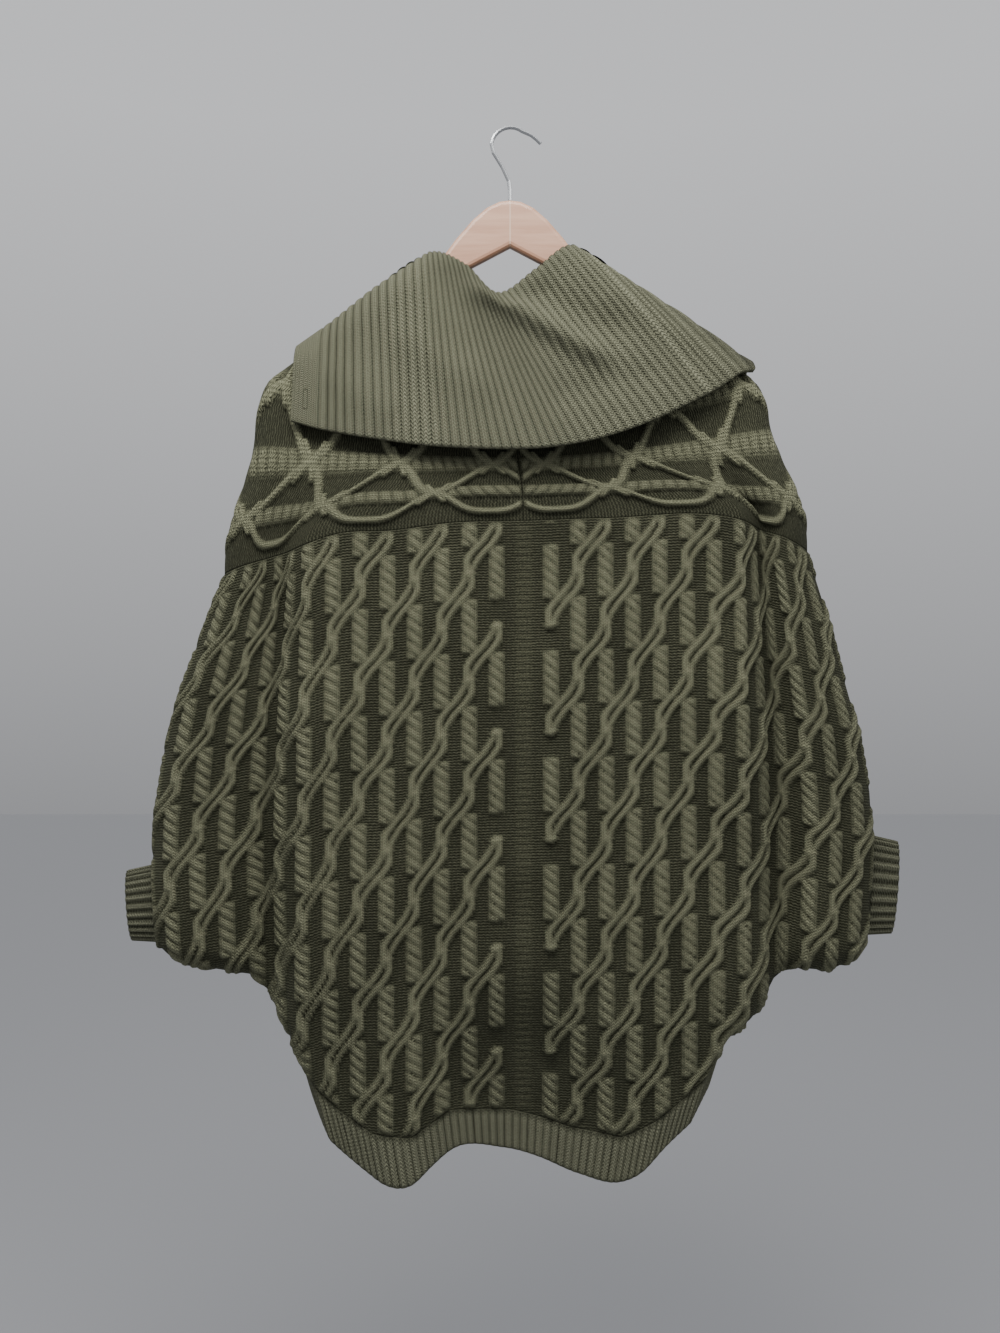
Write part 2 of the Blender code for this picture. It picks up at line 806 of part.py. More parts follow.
def hem_band(name, front):
    """Ribbed band along the lower edge of the front or of the back panel."""
    sign = -1 if front else 1
    seam = np.array([0, 0, -HEM_SEAM_GAP])
    outer_places = hem_places(cable_places())
    inner_places = hem_places(INSIDE_PLACES)
    edge = panel_edge(front, 0.0, outer_places)
    inside_edge = panel_edge(front, -WALL, inner_places)
    length = float(np.linalg.norm(np.diff(np.array(edge), axis=0), axis=1).sum())
    ribs = int(length / HEM_RIB)
    middle = []
    low = []
    for i, point in enumerate(along(edge, ribs * 2 + 1)):
        lift = HEM_RIB_HEIGHT if i % 2 else 0.0
        hanging = hem_low(point, front, lift)
        out = np.array([0, sign * lift, 0])
        middle.append(point * 0.72 + hanging * 0.28 + out + seam)
        low.append(hanging)
    inner_low = []
    for point in along(edge, ribs // 2):
        inner_low.append(hem_low(point, front, 0.0) - np.array([0, sign * WALL, 0]))
    shell = Shell()
    outer = shell.skin([[point + seam for point in edge], middle, low])
    inner = shell.skin([[point + seam for point in inside_edge], inner_low])
    shell.lace(outer[0], inner[0], (outer_places, inner_places))
    shell.lace(outer[-1], inner[-1])
    shell.lace([line[0] for line in outer], [line[0] for line in inner])
    shell.lace([line[-1] for line in outer], [line[-1] for line in inner])
    return shell.make(name, "olive_rib")


def cuff(name, left):
    """Ribbed tube round the end of a sleeve, turned a little backwards."""
    side = -1 if left else 1
    top, low = LEFT_MOUTH if left else RIGHT_MOUTH
    shell = Shell()
    reach = np.array([side * CUFF_TURN[0], CUFF_TURN[1], CUFF_TURN[2]]) * CUFF_LENGTH
    middle_z = (top + low) / 2
    half = abs(top - low) / 2 - 1

    def ring(share, lift, count):
        points = []
        for i in range(count):
            turn = 2 * math.pi * i / count
            raised = lift * (i % 2) if lift > 0 else lift
            c = math.cos(turn)
            s = math.sin(turn)
            z = middle_z + (half - 3 * share + raised) * c
            x = float(side_x(z, left)) + side * (SEAM_GAP + 0.4)
            y = (MOUTH_DEPTH + raised) * math.copysign(abs(s) ** 0.8, s)
            points.append(np.array([x, y, z]) + reach * share)
        return points

    def columns(lift, count, shares):
        rings = [ring(share, lift, count) for share in shares]
        return [[points[i] for points in rings] for i in range(count)]

    outer = shell.ring_skin(columns(HEM_RIB_HEIGHT, CUFF_RIBS * 2, (0.0, 0.5, 1.0)))
    inner = shell.ring_skin(columns(-WALL, CUFF_RIBS, (0.0, 1.0)))
    shell.ring_wall(outer, inner)
    return shell.make(name, "olive_rib")


def hanger_outline():
    """The hanger seen from the front: arched in the middle, arms sloping into round tips.
    The arms' top lies just under the cloth on the shoulders."""
    shoulder = np.array(SHOULDER, dtype=float)
    under_cloth = WALL / 0.84 + 2.6
    top = [tuple(point) for point in HANGER_TOP]
    for x in (74, 100, 128, 155, 176):
        both = [float(np.interp(side * x, shoulder[:, 0], shoulder[:, 1])) for side in (-1, 1)]
        top.append((x, min(both) - under_cloth))
    tip_x = HANGER_HALF
    tip_z = top[-1][1] - 17
    tip = [(tip_x - 4, tip_z + 7), (tip_x, tip_z), (tip_x - 4, tip_z - 8), (tip_x - 12, tip_z - 11)]
    half = top + tip + [point for point in reversed(HANGER_UNDER)]
    mirrored = [(-x, z) for x, z in reversed(half[1:-1])]
    return half + mirrored


def hanger_body():
    """Flat wooden hanger with rounded edges."""
    mesh = bpy.data.meshes.new("hanger_body")
    work = bmesh.new()
    outline = hanger_outline()
    half = WOOD_THICK / 2
    verts = [work.verts.new((x * MM, -half * MM, z * MM)) for x, z in outline]
    face = work.faces.new(verts)
    moved = bmesh.ops.extrude_face_region(work, geom=[face])
    new_verts = [item for item in moved["geom"] if isinstance(item, bmesh.types.BMVert)]
    bmesh.ops.translate(work, verts=new_verts, vec=(0, WOOD_THICK * MM, 0))
    bmesh.ops.recalc_face_normals(work, faces=work.faces)
    work.to_mesh(mesh)
    work.free()
    mesh.materials.append(material("beech"))
    made = bpy.data.objects.new("hanger_body", mesh)
    bpy.context.scene.collection.objects.link(made)
    bevel = made.modifiers.new("rounded_edges", "BEVEL")
    bevel.width = 4.0 * MM
    bevel.segments = 3
    bevel.limit_method = "ANGLE"
    bevel.angle_limit = math.radians(60)
    mesh.shade_smooth()
    mesh.set_sharp_from_angle(angle=math.radians(40))
    return made


def hanger_hook():
    """Wire hook: a short neck, a bend to the left, and a round open loop to the right."""
    rise = HOOK_WIRE / 2
    route = [(0, -60.8), (0, -52), (-1.0, -44), (-6.5, -32), (-14, -20)]
    centre_x = 0.5
    centre_z = rise - HOOK_RADIUS
    for degrees in range(170, 40, -13):
        angle = math.radians(degrees)
        x = centre_x + HOOK_RADIUS * math.cos(angle)
        route.append((x, centre_z + HOOK_RADIUS * math.sin(angle)))
    route += [(18, -5), (22.5, -8.5), (26, -12)]
    spline_curve = bpy.data.curves.new("hanger_hook", "CURVE")
    spline_curve.dimensions = "3D"
    spline_curve.bevel_depth = rise * MM
    spline_curve.bevel_resolution = 2
    spline_curve.use_fill_caps = True
    spline = spline_curve.splines.new("POLY")
    spline.points.add(len(route) - 1)
    for point, (x, z) in zip(spline.points, route):
        point.co = (x * MM, 0, z * MM, 1)
    spline_curve.materials.append(material("steel"))
    made = bpy.data.objects.new("hanger_hook", spline_curve)
    bpy.context.scene.collection.objects.link(made)
    return made


def build():
    for old in list(bpy.data.objects):
        bpy.data.objects.remove(old, do_unlink=True)
    body_panel("body_front", True)
    body_panel("body_back", False)
    half_gap = SEAM_GAP / 2 / CABLE_PITCH
    yoke_piece("yoke_front_left", True, -CABLE_COUNT, -half_gap)
    yoke_piece("yoke_front_right", True, half_gap, CABLE_COUNT)
    yoke_piece("yoke_back", False, -CABLE_COUNT, CABLE_COUNT)
    collar()
    hem_band("hem_front", True)
    hem_band("hem_back", False)
    cuff("cuff_left", True)
    cuff("cuff_right", False)
    hanger_body()
    hanger_hook()


build()
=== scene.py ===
"""Olive cable knit poncho sweater on a wooden hanger, seen from the front.

Lengths are in millimetres until they become mesh points. Each cloth piece is a
dense outside with its cables or ribs in relief, and a plain inside, as one wall.
"""

import math

import bmesh
import bpy
import numpy as np
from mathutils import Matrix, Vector


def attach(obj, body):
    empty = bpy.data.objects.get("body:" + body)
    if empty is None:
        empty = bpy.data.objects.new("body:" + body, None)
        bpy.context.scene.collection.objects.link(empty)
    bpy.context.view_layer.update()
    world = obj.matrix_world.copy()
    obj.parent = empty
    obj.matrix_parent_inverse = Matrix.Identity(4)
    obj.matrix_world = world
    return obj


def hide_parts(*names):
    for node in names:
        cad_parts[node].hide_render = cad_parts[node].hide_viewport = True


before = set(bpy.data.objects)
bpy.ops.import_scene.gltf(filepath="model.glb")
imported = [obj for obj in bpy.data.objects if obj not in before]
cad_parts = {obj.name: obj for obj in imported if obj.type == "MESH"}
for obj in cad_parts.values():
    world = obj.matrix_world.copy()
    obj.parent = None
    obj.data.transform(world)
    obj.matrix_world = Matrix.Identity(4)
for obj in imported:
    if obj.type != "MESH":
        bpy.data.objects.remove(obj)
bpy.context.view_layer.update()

# Camera, at the photo's place: level with the middle of the garment, square to it.
EYE = (-8.5, -1050.0, -456.5)
LENS = 33.36
MM = 0.001

camera_data = bpy.data.cameras.new("camera")
camera_data.sensor_fit = "VERTICAL"
camera_data.sensor_height = 36.0
camera_data.lens = LENS
camera = bpy.data.objects.new("camera", camera_data)
camera.location = [c * MM for c in EYE]
camera.rotation_euler = (math.pi / 2, 0, 0)
bpy.context.scene.collection.objects.link(camera)
bpy.context.scene.camera = camera


def linear(hex_colour):
    """An sRGB colour such as 8a8c66 as the linear colour that shaders take."""
    parts = [int(hex_colour[i : i + 2], 16) / 255 for i in (0, 2, 4)]
    return [p / 12.92 if p <= 0.04045 else ((p + 0.055) / 1.055) ** 2.4 for p in parts] + [1.0]


def node(tree, kind, values=None, links=None, **settings):
    """Adds a node, sets its values by socket and links other nodes' sockets to it."""
    made = tree.nodes.new(kind)
    for key, value in settings.items():
        setattr(made, key, value)
    for key, value in (values or {}).items():
        made.inputs[key].default_value = value
    for key, source in (links or {}).items():
        tree.links.new(source, made.inputs[key])
    return made


def new_material(name):
    made = bpy.data.materials.new(name)
    made.use_nodes = True
    return made, made.node_tree, made.node_tree.nodes["Principled BSDF"]


# Soft studio light: a pale room, one large lamp above and in front, a weak one at the side.
def soft_lamp(name, place, aim, size, power):
    data = bpy.data.lights.new(name, "AREA")
    data.shape = "RECTANGLE"
    data.size, data.size_y = size
    data.energy = power
    data.color = (1.0, 0.99, 0.97)
    lamp = bpy.data.objects.new(name, data)
    lamp.location = place
    lamp.rotation_euler = (Vector(aim) - Vector(place)).to_track_quat("-Z", "Y").to_euler()
    bpy.context.scene.collection.objects.link(lamp)


soft_lamp("key", (-0.12, -0.62, 0.5), (0, 0, -0.35), (0.8, 0.4), 15)
soft_lamp("side", (1.1, -0.9, 0.5), (0, 0, -0.4), (0.6, 0.6), 3)
world = bpy.data.worlds.new("pale_room")
world.use_nodes = True
sky = world.node_tree
aim = node(sky, "ShaderNodeSeparateXYZ", links={0: node(sky, "ShaderNodeTexCoord").outputs["Generated"]})
rise = node(sky, "ShaderNodeMapRange", {"From Min": -0.3, "From Max": 0.4}, {"Value": aim.outputs["Z"]})
fade = node(sky, "ShaderNodeValToRGB", links={0: rise.outputs[0]})
fade.color_ramp.elements[0].color = linear("87888c")
fade.color_ramp.elements[1].color = linear("f6f7fa")
sky.links.new(fade.outputs[0], sky.nodes["Background"].inputs["Color"])
world.node_tree.nodes["Background"].inputs["Strength"].default_value = 0.74
bpy.context.scene.world = world

# Plain pale floor, a good way below the hem.
floor_mesh = bpy.data.meshes.new("floor")
floor_mesh.from_pydata([(-6, -6, -1.3), (6, -6, -1.3), (6, 6, -1.3), (-6, 6, -1.3)], [], [(0, 1, 2, 3)])
floor = bpy.data.objects.new("floor", floor_mesh)
bpy.context.scene.collection.objects.link(floor)
floor_material, tree, shader = new_material("pale_floor")
shader.inputs["Base Color"].default_value = linear("a8a9ac")
shader.inputs["Roughness"].default_value = 0.9
floor_mesh.materials.append(floor_material)


# Hanger: flat beech, two arms joined in the middle, clear satin lacquer. The wood keeps
# its CAD form; its material has grain along each arm and a thin joint line.
def beech_material():
    made, tree, shader = new_material("beech_wood")
    place = node(tree, "ShaderNodeTexCoord").outputs["Object"]
    split = node(tree, "ShaderNodeSeparateXYZ", links={0: place})
    mirrored = node(tree, "ShaderNodeMath", operation="ABSOLUTE", links={0: split.outputs[0]}).outputs[0]
    both = node(tree, "ShaderNodeCombineXYZ", links={0: mirrored, 1: split.outputs[1], 2: split.outputs[2]})
    along_arm = node(
        tree,
        "ShaderNodeMapping",
        values={"Rotation": (0, math.radians(-33), 0), "Scale": (12, 60, 150)},
        links={"Vector": both.outputs[0]},
    )
    grain = node(
        tree,
        "ShaderNodeTexNoise",
        values={"Scale": 1.0, "Detail": 6.0, "Roughness": 0.6, "Distortion": 0.4},
        links={"Vector": along_arm.outputs[0]},
    )
    ramp = node(tree, "ShaderNodeValToRGB", links={0: grain.outputs["Fac"]})
    ramp.color_ramp.elements[0].position = 0.3
    ramp.color_ramp.elements[0].color = linear("b98b70")
    ramp.color_ramp.elements[1].position = 0.72
    ramp.color_ramp.elements[1].color = linear("d2a88d")
    joint = node(tree, "ShaderNodeMath", {1: 0.0004}, {0: mirrored}, operation="LESS_THAN")
    pale = node(tree, "ShaderNodeMix", data_type="RGBA", links={"Factor": joint.outputs[0]})
    tree.links.new(ramp.outputs[0], pale.inputs[6])
    pale.inputs[7].default_value = linear("dcc0a8")
    tree.links.new(pale.outputs[2], shader.inputs["Base Color"])
    shader.inputs["Roughness"].default_value = 0.42
    shader.inputs["Coat Weight"].default_value = 0.15
    pores = {"Strength": 0.12, "Distance": 0.0004}
    bump = node(tree, "ShaderNodeBump", pores, {"Height": grain.outputs["Fac"]})
    tree.links.new(bump.outputs[0], shader.inputs["Normal"])
    return made


# Hook: bent steel wire, plated, with fine drawing marks along it.
def steel_material():
    made, tree, shader = new_material("plated_steel_wire")
    place = node(tree, "ShaderNodeTexCoord").outputs["Object"]
    marks = node(tree, "ShaderNodeTexNoise", {"Scale": 900.0, "Detail": 3.0}, {"Vector": place})
    ramp = node(tree, "ShaderNodeValToRGB", links={0: marks.outputs["Fac"]})
    ramp.color_ramp.elements[0].color = linear("a9abad")
    ramp.color_ramp.elements[1].color = linear("d6d8da")
    tree.links.new(ramp.outputs[0], shader.inputs["Base Color"])
    shader.inputs["Metallic"].default_value = 1.0
    shader.inputs["Roughness"].default_value = 0.28
    scratches = {"Strength": 0.1, "Distance": 0.0002}
    bump = node(tree, "ShaderNodeBump", scratches, {"Height": marks.outputs["Fac"]})
    tree.links.new(bump.outputs[0], shader.inputs["Normal"])
    return made


for name, made in (("hanger_body", beech_material()), ("hanger_hook", steel_material())):
    carried = bpy.data.objects[name]
    carried.data.materials.clear()
    carried.data.materials.append(made)


# Wool knit, dyed olive: a marl of darker and lighter yarn, matte and slightly fuzzy, with painted shade:
# low yarn darker, raised yarn lighter.
# On the ground between cables the purl rows show, on cables and ribs the knit stitches.
def knit_material(name, shaded_ground, lit_crest, row, wale):
    """Knitted wool. The two colours are the olive yarn in painted shade, for low yarn, and in painted
    light, for raised yarn; the colour goes between them with the relief's height, darker in the hollows
    between cables and ribs and on the low half of each stitch. row and wale are the height and width of a
    stitch in millimetres. The height of the bump is a purl row |sin(pi v / row)| on the ground and a
    chevron of v + |u| on raised yarn."""
    made, tree, shader = new_material(name)
    knit = node(tree, "ShaderNodeUVMap", uv_map="knit").outputs[0]
    raised = node(tree, "ShaderNodeAttribute", attribute_name="raised").outputs["Fac"]
    wander = node(tree, "ShaderNodeTexNoise", {"Scale": 160.0, "Detail": 2.0}, {"Vector": knit})
    half_grey = {1: (0.5, 0.5, 0.5)}
    noise = {0: wander.outputs["Color"]}
    shift = node(tree, "ShaderNodeVectorMath", half_grey, noise, operation="SUBTRACT")
    small = node(tree, "ShaderNodeVectorMath", {"Scale": 0.0016}, {0: shift.outputs[0]}, operation="SCALE")
    moved = node(tree, "ShaderNodeVectorMath", links={0: knit, 1: small.outputs[0]}, operation="ADD")
    split = node(tree, "ShaderNodeSeparateXYZ", links={0: moved.outputs[0]})
    u, v = split.outputs[0], split.outputs[1]

    def math_node(operation, a, b=None, third=None):
        made_node = node(tree, "ShaderNodeMath", operation=operation)
        for i, value in enumerate((a, b, third)):
            if value is None:
                continue
            if isinstance(value, (int, float)):
                made_node.inputs[i].default_value = value
            else:
                tree.links.new(value, made_node.inputs[i])
        return made_node.outputs[0]

    per_wale = 2 * math.pi / (wale * MM)
    per_row = 2 * math.pi / (row * MM)
    half = math_node("PINGPONG", u, wale * MM / 2)
    chevron = math_node("ADD", v, math_node("MULTIPLY", half, 1.1))
    stitch = math_node("SINE", math_node("MULTIPLY", chevron, per_row))
    trough = math_node("COSINE", math_node("MULTIPLY", half, 2 * per_wale))
    valley = math_node("MULTIPLY", trough, -0.5)
    knit_face = math_node("ADD", stitch, valley)
    lean = math_node("MULTIPLY", math_node("SINE", math_node("MULTIPLY", u, per_wale)), 0.9)
    purl_face = math_node("SINE", math_node("ADD", math_node("MULTIPLY", v, per_row), lean))
    high = math_node("SMOOTH_MIN", math_node("MULTIPLY", raised, 2.5), 1.0, 0.2)
    faces = {0: high, 2: purl_face, 3: knit_face}
    face = node(tree, "ShaderNodeMix", data_type="FLOAT", links=faces).outputs[0]
    fibres = {"Scale": 1500.0, "Detail": 4.0, "Roughness": 0.7}
    fuzz = node(tree, "ShaderNodeTexNoise", fibres, {"Vector": knit})
    hairs = math_node("MULTIPLY", fuzz.outputs["Fac"], 0.9)
    height = math_node("ADD", math_node("MULTIPLY", face, 0.5), hairs)
    bump = node(tree, "ShaderNodeBump", {"Strength": 1.0, "Distance": 0.0014}, {"Height": height})
    tree.links.new(bump.outputs[0], shader.inputs["Normal"])

    flecks = {"Scale": 520.0, "Detail": 3.0, "Roughness": 0.65}
    marl = node(tree, "ShaderNodeTexNoise", flecks, {"Vector": knit})
    patch = node(tree, "ShaderNodeTexNoise", {"Scale": 14.0, "Detail": 2.0}, {"Vector": knit})
    spread = math_node("MULTIPLY_ADD", marl.outputs["Fac"], 0.7, -0.28)
    # Painted shade: the colour darkens where the relief is low and on the low half of each stitch, as if
    # the hollows lay in shade.
    marl_and_painted_shade = math_node("MULTIPLY_ADD", raised, 0.75, spread)
    marl_and_painted_shade = math_node("ADD", marl_and_painted_shade, math_node("MULTIPLY", face, 0.12))
    marl_and_painted_shade = math_node("ADD", marl_and_painted_shade, math_node("MULTIPLY_ADD", patch.outputs["Fac"], 0.3, -0.15))
    ramp = node(tree, "ShaderNodeValToRGB", links={0: marl_and_painted_shade})
    ramp.color_ramp.elements[0].position = 0.0
    ramp.color_ramp.elements[0].color = linear(shaded_ground)
    ramp.color_ramp.elements[1].position = 1.0
    ramp.color_ramp.elements[1].color = linear(lit_crest)
    tree.links.new(ramp.outputs[0], shader.inputs["Base Color"])
    shader.inputs["Roughness"].default_value = 0.95
    shader.inputs["Specular IOR Level"].default_value = 0.2
    shader.inputs["Sheen Weight"].default_value = 0.12
    shader.inputs["Sheen Roughness"].default_value = 0.6
    shader.inputs["Sheen Tint"].default_value = linear("a5a886")
    return made


# The dark colour is low yarn in painted shade, the light one raised yarn in painted light.
cable_wool = knit_material("olive_wool_cable_knit", "2a2b1f", "95967a", 2.3, 3.4)
rib_wool = knit_material("olive_wool_rib_knit", "28291e", "8b8c75", 2.5, 4.0)


# Making a wall of cloth from a dense outside and a plain inside.
def laced(a, b):
    """Triangles between two lines of point numbers, level along both by their share."""
    faces = []
    i = j = 0
    while i < len(a) - 1 or j < len(b) - 1:
        next_a = (i + 1) / (len(a) - 1) if i < len(a) - 1 else math.inf
        next_b = (j + 1) / (len(b) - 1) if j < len(b) - 1 else math.inf
        if next_a <= next_b:
            faces.append((a[i], a[i + 1], b[j]))
            i += 1
        else:
            faces.append((a[i], b[j + 1], b[j]))
            j += 1
    return faces


def grid_faces(rows, columns, start):
    """Faces of a grid of points numbered from start, row by row."""
    numbers = start + np.arange(rows * columns).reshape(rows, columns)
    return np.stack(
        [numbers[:-1, :-1], numbers[1:, :-1], numbers[1:, 1:], numbers[:-1, 1:]], axis=-1
    ).reshape(-1, 4)


def normals_of(points):
    """Unit normals of a grid of points, by its differences along rows and columns."""
    down = np.gradient(points, axis=0)
    across = np.gradient(points, axis=1)
    normal = np.cross(down, across)
    return normal / np.maximum(np.linalg.norm(normal, axis=2, keepdims=True), 1e-9)


def wall_piece(name, grids, material, rims):
    """One piece of cloth. grids are (points, raised, u, v) for each surface, rims are
    pairs of lines of points to close, each given as grid, row slice, column slice."""
    points = []
    raised = []
    knit = []
    faces = []
    numbers = []
    start = 0
    for place, high, u, v in grids:
        rows, columns = place.shape[:2]
        points.append(place.reshape(-1, 3))
        raised.append(np.broadcast_to(high, (rows, columns)).reshape(-1))
        across = np.broadcast_to(u, (rows, columns))
        along = np.broadcast_to(v, (rows, columns))
        knit.append(np.stack([across, along], -1).reshape(-1, 2))
        numbers.append(start + np.arange(rows * columns).reshape(rows, columns))
        faces += grid_faces(rows, columns, start).tolist()
        start += rows * columns
    for (a, a_line), (b, b_line) in rims:
        faces += laced(numbers[a][a_line].tolist(), numbers[b][b_line].tolist())
    mesh = bpy.data.meshes.new(name)
    mesh.from_pydata((np.concatenate(points) * MM).tolist(), [], faces)
    # raised is the relief's height; the knit material also paints shade with it, darker where it is low, as
    # on the plain insides at 0.15.
    layer = mesh.attributes.new("raised", "FLOAT", "POINT")
    layer.data.foreach_set("value", np.concatenate(raised).astype(np.float32))
    corners = np.zeros(len(mesh.loops), dtype=np.int32)
    mesh.loops.foreach_get("vertex_index", corners)
    uv = mesh.uv_layers.new(name="knit")
    uv.data.foreach_set("uv", (np.concatenate(knit) * MM)[corners].astype(np.float32).reshape(-1))
    close_up(mesh)
    mesh.shade_smooth()
    mesh.materials.append(material)
    made = bpy.data.objects.new(name, mesh)
    bpy.context.scene.collection.objects.link(made)
    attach(made, "root")
    return made


def close_up(mesh):
    """Joins points that lie together, and turns all faces outwards."""
    work = bmesh.new()
    work.from_mesh(mesh)
    bmesh.ops.remove_doubles(work, verts=work.verts, dist=0.00001)
    bmesh.ops.recalc_face_normals(work, faces=work.faces)
    work.to_mesh(mesh)
    work.free()


TOP = np.s_[0, :]
BOTTOM = np.s_[-1, :]
FIRST = np.s_[:, 0]
LAST = np.s_[:, -1]


def four_rims(outer, inner):
    """The rims of one panel, grid numbers of its outside and inside."""
    return [((outer, line), (inner, line)) for line in (TOP, BOTTOM, FIRST, LAST)]


def curve(rows, at, column):
    """A table's column at some places along its first column, without corners."""
    table = np.array(rows, dtype=float)
    keys = table[:, 0]
    values = table[:, column]
    slopes = np.gradient(values, keys)
    place = np.clip(at, keys[0], keys[-1])
    i = np.clip(np.searchsorted(keys, place, side="right") - 1, 0, len(keys) - 2)
    span = keys[i + 1] - keys[i]
    t = (place - keys[i]) / span
    low = (2 * t**3 - 3 * t**2 + 1) * values[i] + (t**3 - 2 * t**2 + t) * span * slopes[i]
    high = (3 * t**2 - 2 * t**3) * values[i + 1] + (t**3 - t**2) * span * slopes[i + 1]
    return low + high


def straight(rows, at):
    """The second column of a table at some places along its first, in straight steps."""
    table = np.array(rows, dtype=float)
    return np.interp(at, table[:, 0], table[:, 1])


WALL = 2.8
SEAM_GAP = 0.3
ROUND = 26.0
CABLE_PITCH = 22.4
CABLE_COUNT = 14
STRAIGHT_CABLES = 8
CENTRE_X = 11.0
CABLE_PERIOD = 87.5
ROPE_START = 43.0


def rounding(gap):
    """Share of full depth and of sideways lean at a distance from a folded edge."""
    q = np.clip(gap / ROUND, 0, 1)
    return np.sqrt(np.maximum(1 - (1 - q) ** 2, 0)), 1 - q


# Outline of the garment's panels as it hangs.
LEFT_SIDE = (
    (379, -242), (436, -264), (475, -279), (525, -292), (583, -301), (625, -302), (690, -297),
)
RIGHT_SIDE = (
    (360, 252), (418, 270), (472, 284), (511, 295), (562, 304), (600, 306), (684, 300),
)
LOWER_EDGE = (
    (-297, -690), (-285, -701), (-267, -708), (-240, -713), (-219, -717), (-203, -732),
    (-188, -760), (-170, -787), (-158, -800), (-138, -818), (-112, -834), (-80, -838),
    (-50, -822), (0, -826), (50, -838), (90, -840), (118, -824), (140, -808), (160, -792),
    (178, -770), (200, -755), (214, -738), (226, -716), (240, -711), (268, -713),
    (286, -704), (300, -684),
)
YOKE_SEAM = (
    (-242, -379), (-181, -360), (-142, -347), (-97, -344), (-51, -338), (8, -336),
    (76, -334), (184, -334), (252, -360),
)
# Sleeves: where the lower edge starts to turn over, and the mouths in the panels' sides,
# from top to bottom, with half their width in depth
SLEEVE_X = 158
SLEEVE_START = 30
LEFT_MOUTH = (-625, -690)
RIGHT_MOUTH = (-600, -684)
MOUTH_DEPTH = 11.0
# Depth of the folds, in cables from the centre: cable, then at each of the four levels
FOLD_LEVELS = (350, 540, 700, 840)
FRONT_FOLDS = (
    (-14, 24, 30, 34, 30),
    (-12, 25, 34, 40, 30),
    (-10.6, 23, 26, 30, 24),
    (-9.6, 22, 16, 14, 20),
    (-8.2, 32, 44, 50, 40),
    (-6.5, 34, 45, 52, 46),
    (-4.5, 32, 40, 46, 52),
    (-2.2, 33, 42, 44, 26),
    (0, 30, 38, 42, 16),
    (2.4, 33, 42, 46, 30),
    (4.6, 32, 41, 48, 50),
    (6.6, 33, 43, 48, 40),
    (8.4, 32, 42, 44, 26),
    (9.8, 18, 14, 16, 22),
    (11.2, 28, 36, 36, 24),
    (13, 26, 34, 36, 26),
    (14, 24, 30, 32, 26),
)
BACK_FOLDS = (
    (-14, 24, 28, 30, 24),
    (-12, 26, 32, 34, 24),
    (-9.8, 22, 18, 20, 20),
    (-8, 30, 36, 38, 26),
    (-4, 30, 34, 36, 32),
    (0, 28, 32, 32, 22),
    (4, 30, 35, 36, 30),
    (8, 30, 36, 36, 26),
    (10, 21, 18, 20, 20),
    (12, 26, 32, 33, 24),
    (14, 24, 28, 30, 24),
)
# Soft creases in the panels: cable, height, cables wide, mm tall, depth in mm
FRONT_CREASES = (
    (-7.2, -520, 0.9, 90, -2.0),
    (-5.4, -640, 0.8, 120, 1.8),
    (-3.0, -760, 1.0, 70, -2.4),
    (3.4, -720, 0.9, 100, 2.0),
    (6.0, -560, 1.0, 120, -2.0),
    (7.4, -690, 0.7, 80, 2.2),
    (-11.6, -620, 0.7, 70, -2.6),
    (12.2, -600, 0.6, 60, -2.4),
    (1.4, -470, 1.2, 60, 1.4),
)
BACK_CREASES = (
    (-6.0, -560, 1.0, 110, -2.2),
    (-2.0, -700, 1.2, 90, 2.0),
    (3.0, -520, 0.9, 100, -1.8),
    (6.5, -680, 0.8, 110, 2.2),
    (11.6, -600, 0.7, 70, -2.2),
)


def side_x(z, k):
    return np.where(k < 0, straight(LEFT_SIDE, -z), straight(RIGHT_SIDE, -z))


def cable_x(k, z):
    """x of cable k at a height: evenly pitched in the middle, fanned out in the sleeves."""
    edge = CENTRE_X + np.sign(k) * STRAIGHT_CABLES * CABLE_PITCH
    share = (np.abs(k) - STRAIGHT_CABLES) / (CABLE_COUNT - STRAIGHT_CABLES)
    fanned = edge + (side_x(z, k) - edge) * share
    return np.where(np.abs(k) <= STRAIGHT_CABLES, CENTRE_X + k * CABLE_PITCH, fanned)


def end_height(k):
    """Height at which cable k meets the panels' lower edge."""
    z = np.full(np.shape(k), -600.0)
    for _ in range(40):
        z = 0.5 * z + 0.5 * straight(LOWER_EDGE, cable_x(k, z))
    return z


def top_height(k):
    return curve(YOKE_SEAM, cable_x(k, np.full(np.shape(k), -355.0)), 1)


def fold_depth(k, z, folds):
    """Depth of the folds at cable k and height z, eased between the four levels."""
    levels = np.stack([curve(folds, k, column) for column in (1, 2, 3, 4)])
    drop = np.clip(np.interp(-z, FOLD_LEVELS, [0, 1, 2, 3]), 0, 2.999)
    i = drop.astype(int)
    t = drop - i
    t = t * t * (3 - 2 * t)
    low = np.take_along_axis(levels, i[None], 0)[0]
    high = np.take_along_axis(levels, i[None] + 1, 0)[0]
    return low * (1 - t) + high * t


def creased(k, z, creases):
    """Sum of the soft creases at cable k and height z, each a bell in both directions."""
    depth = 0
    for cable, height, wide, tall, deep in creases:
        depth = depth + deep * np.exp(-(((k - cable) / wide) ** 2) - ((z - height) / tall) ** 2)
    return depth


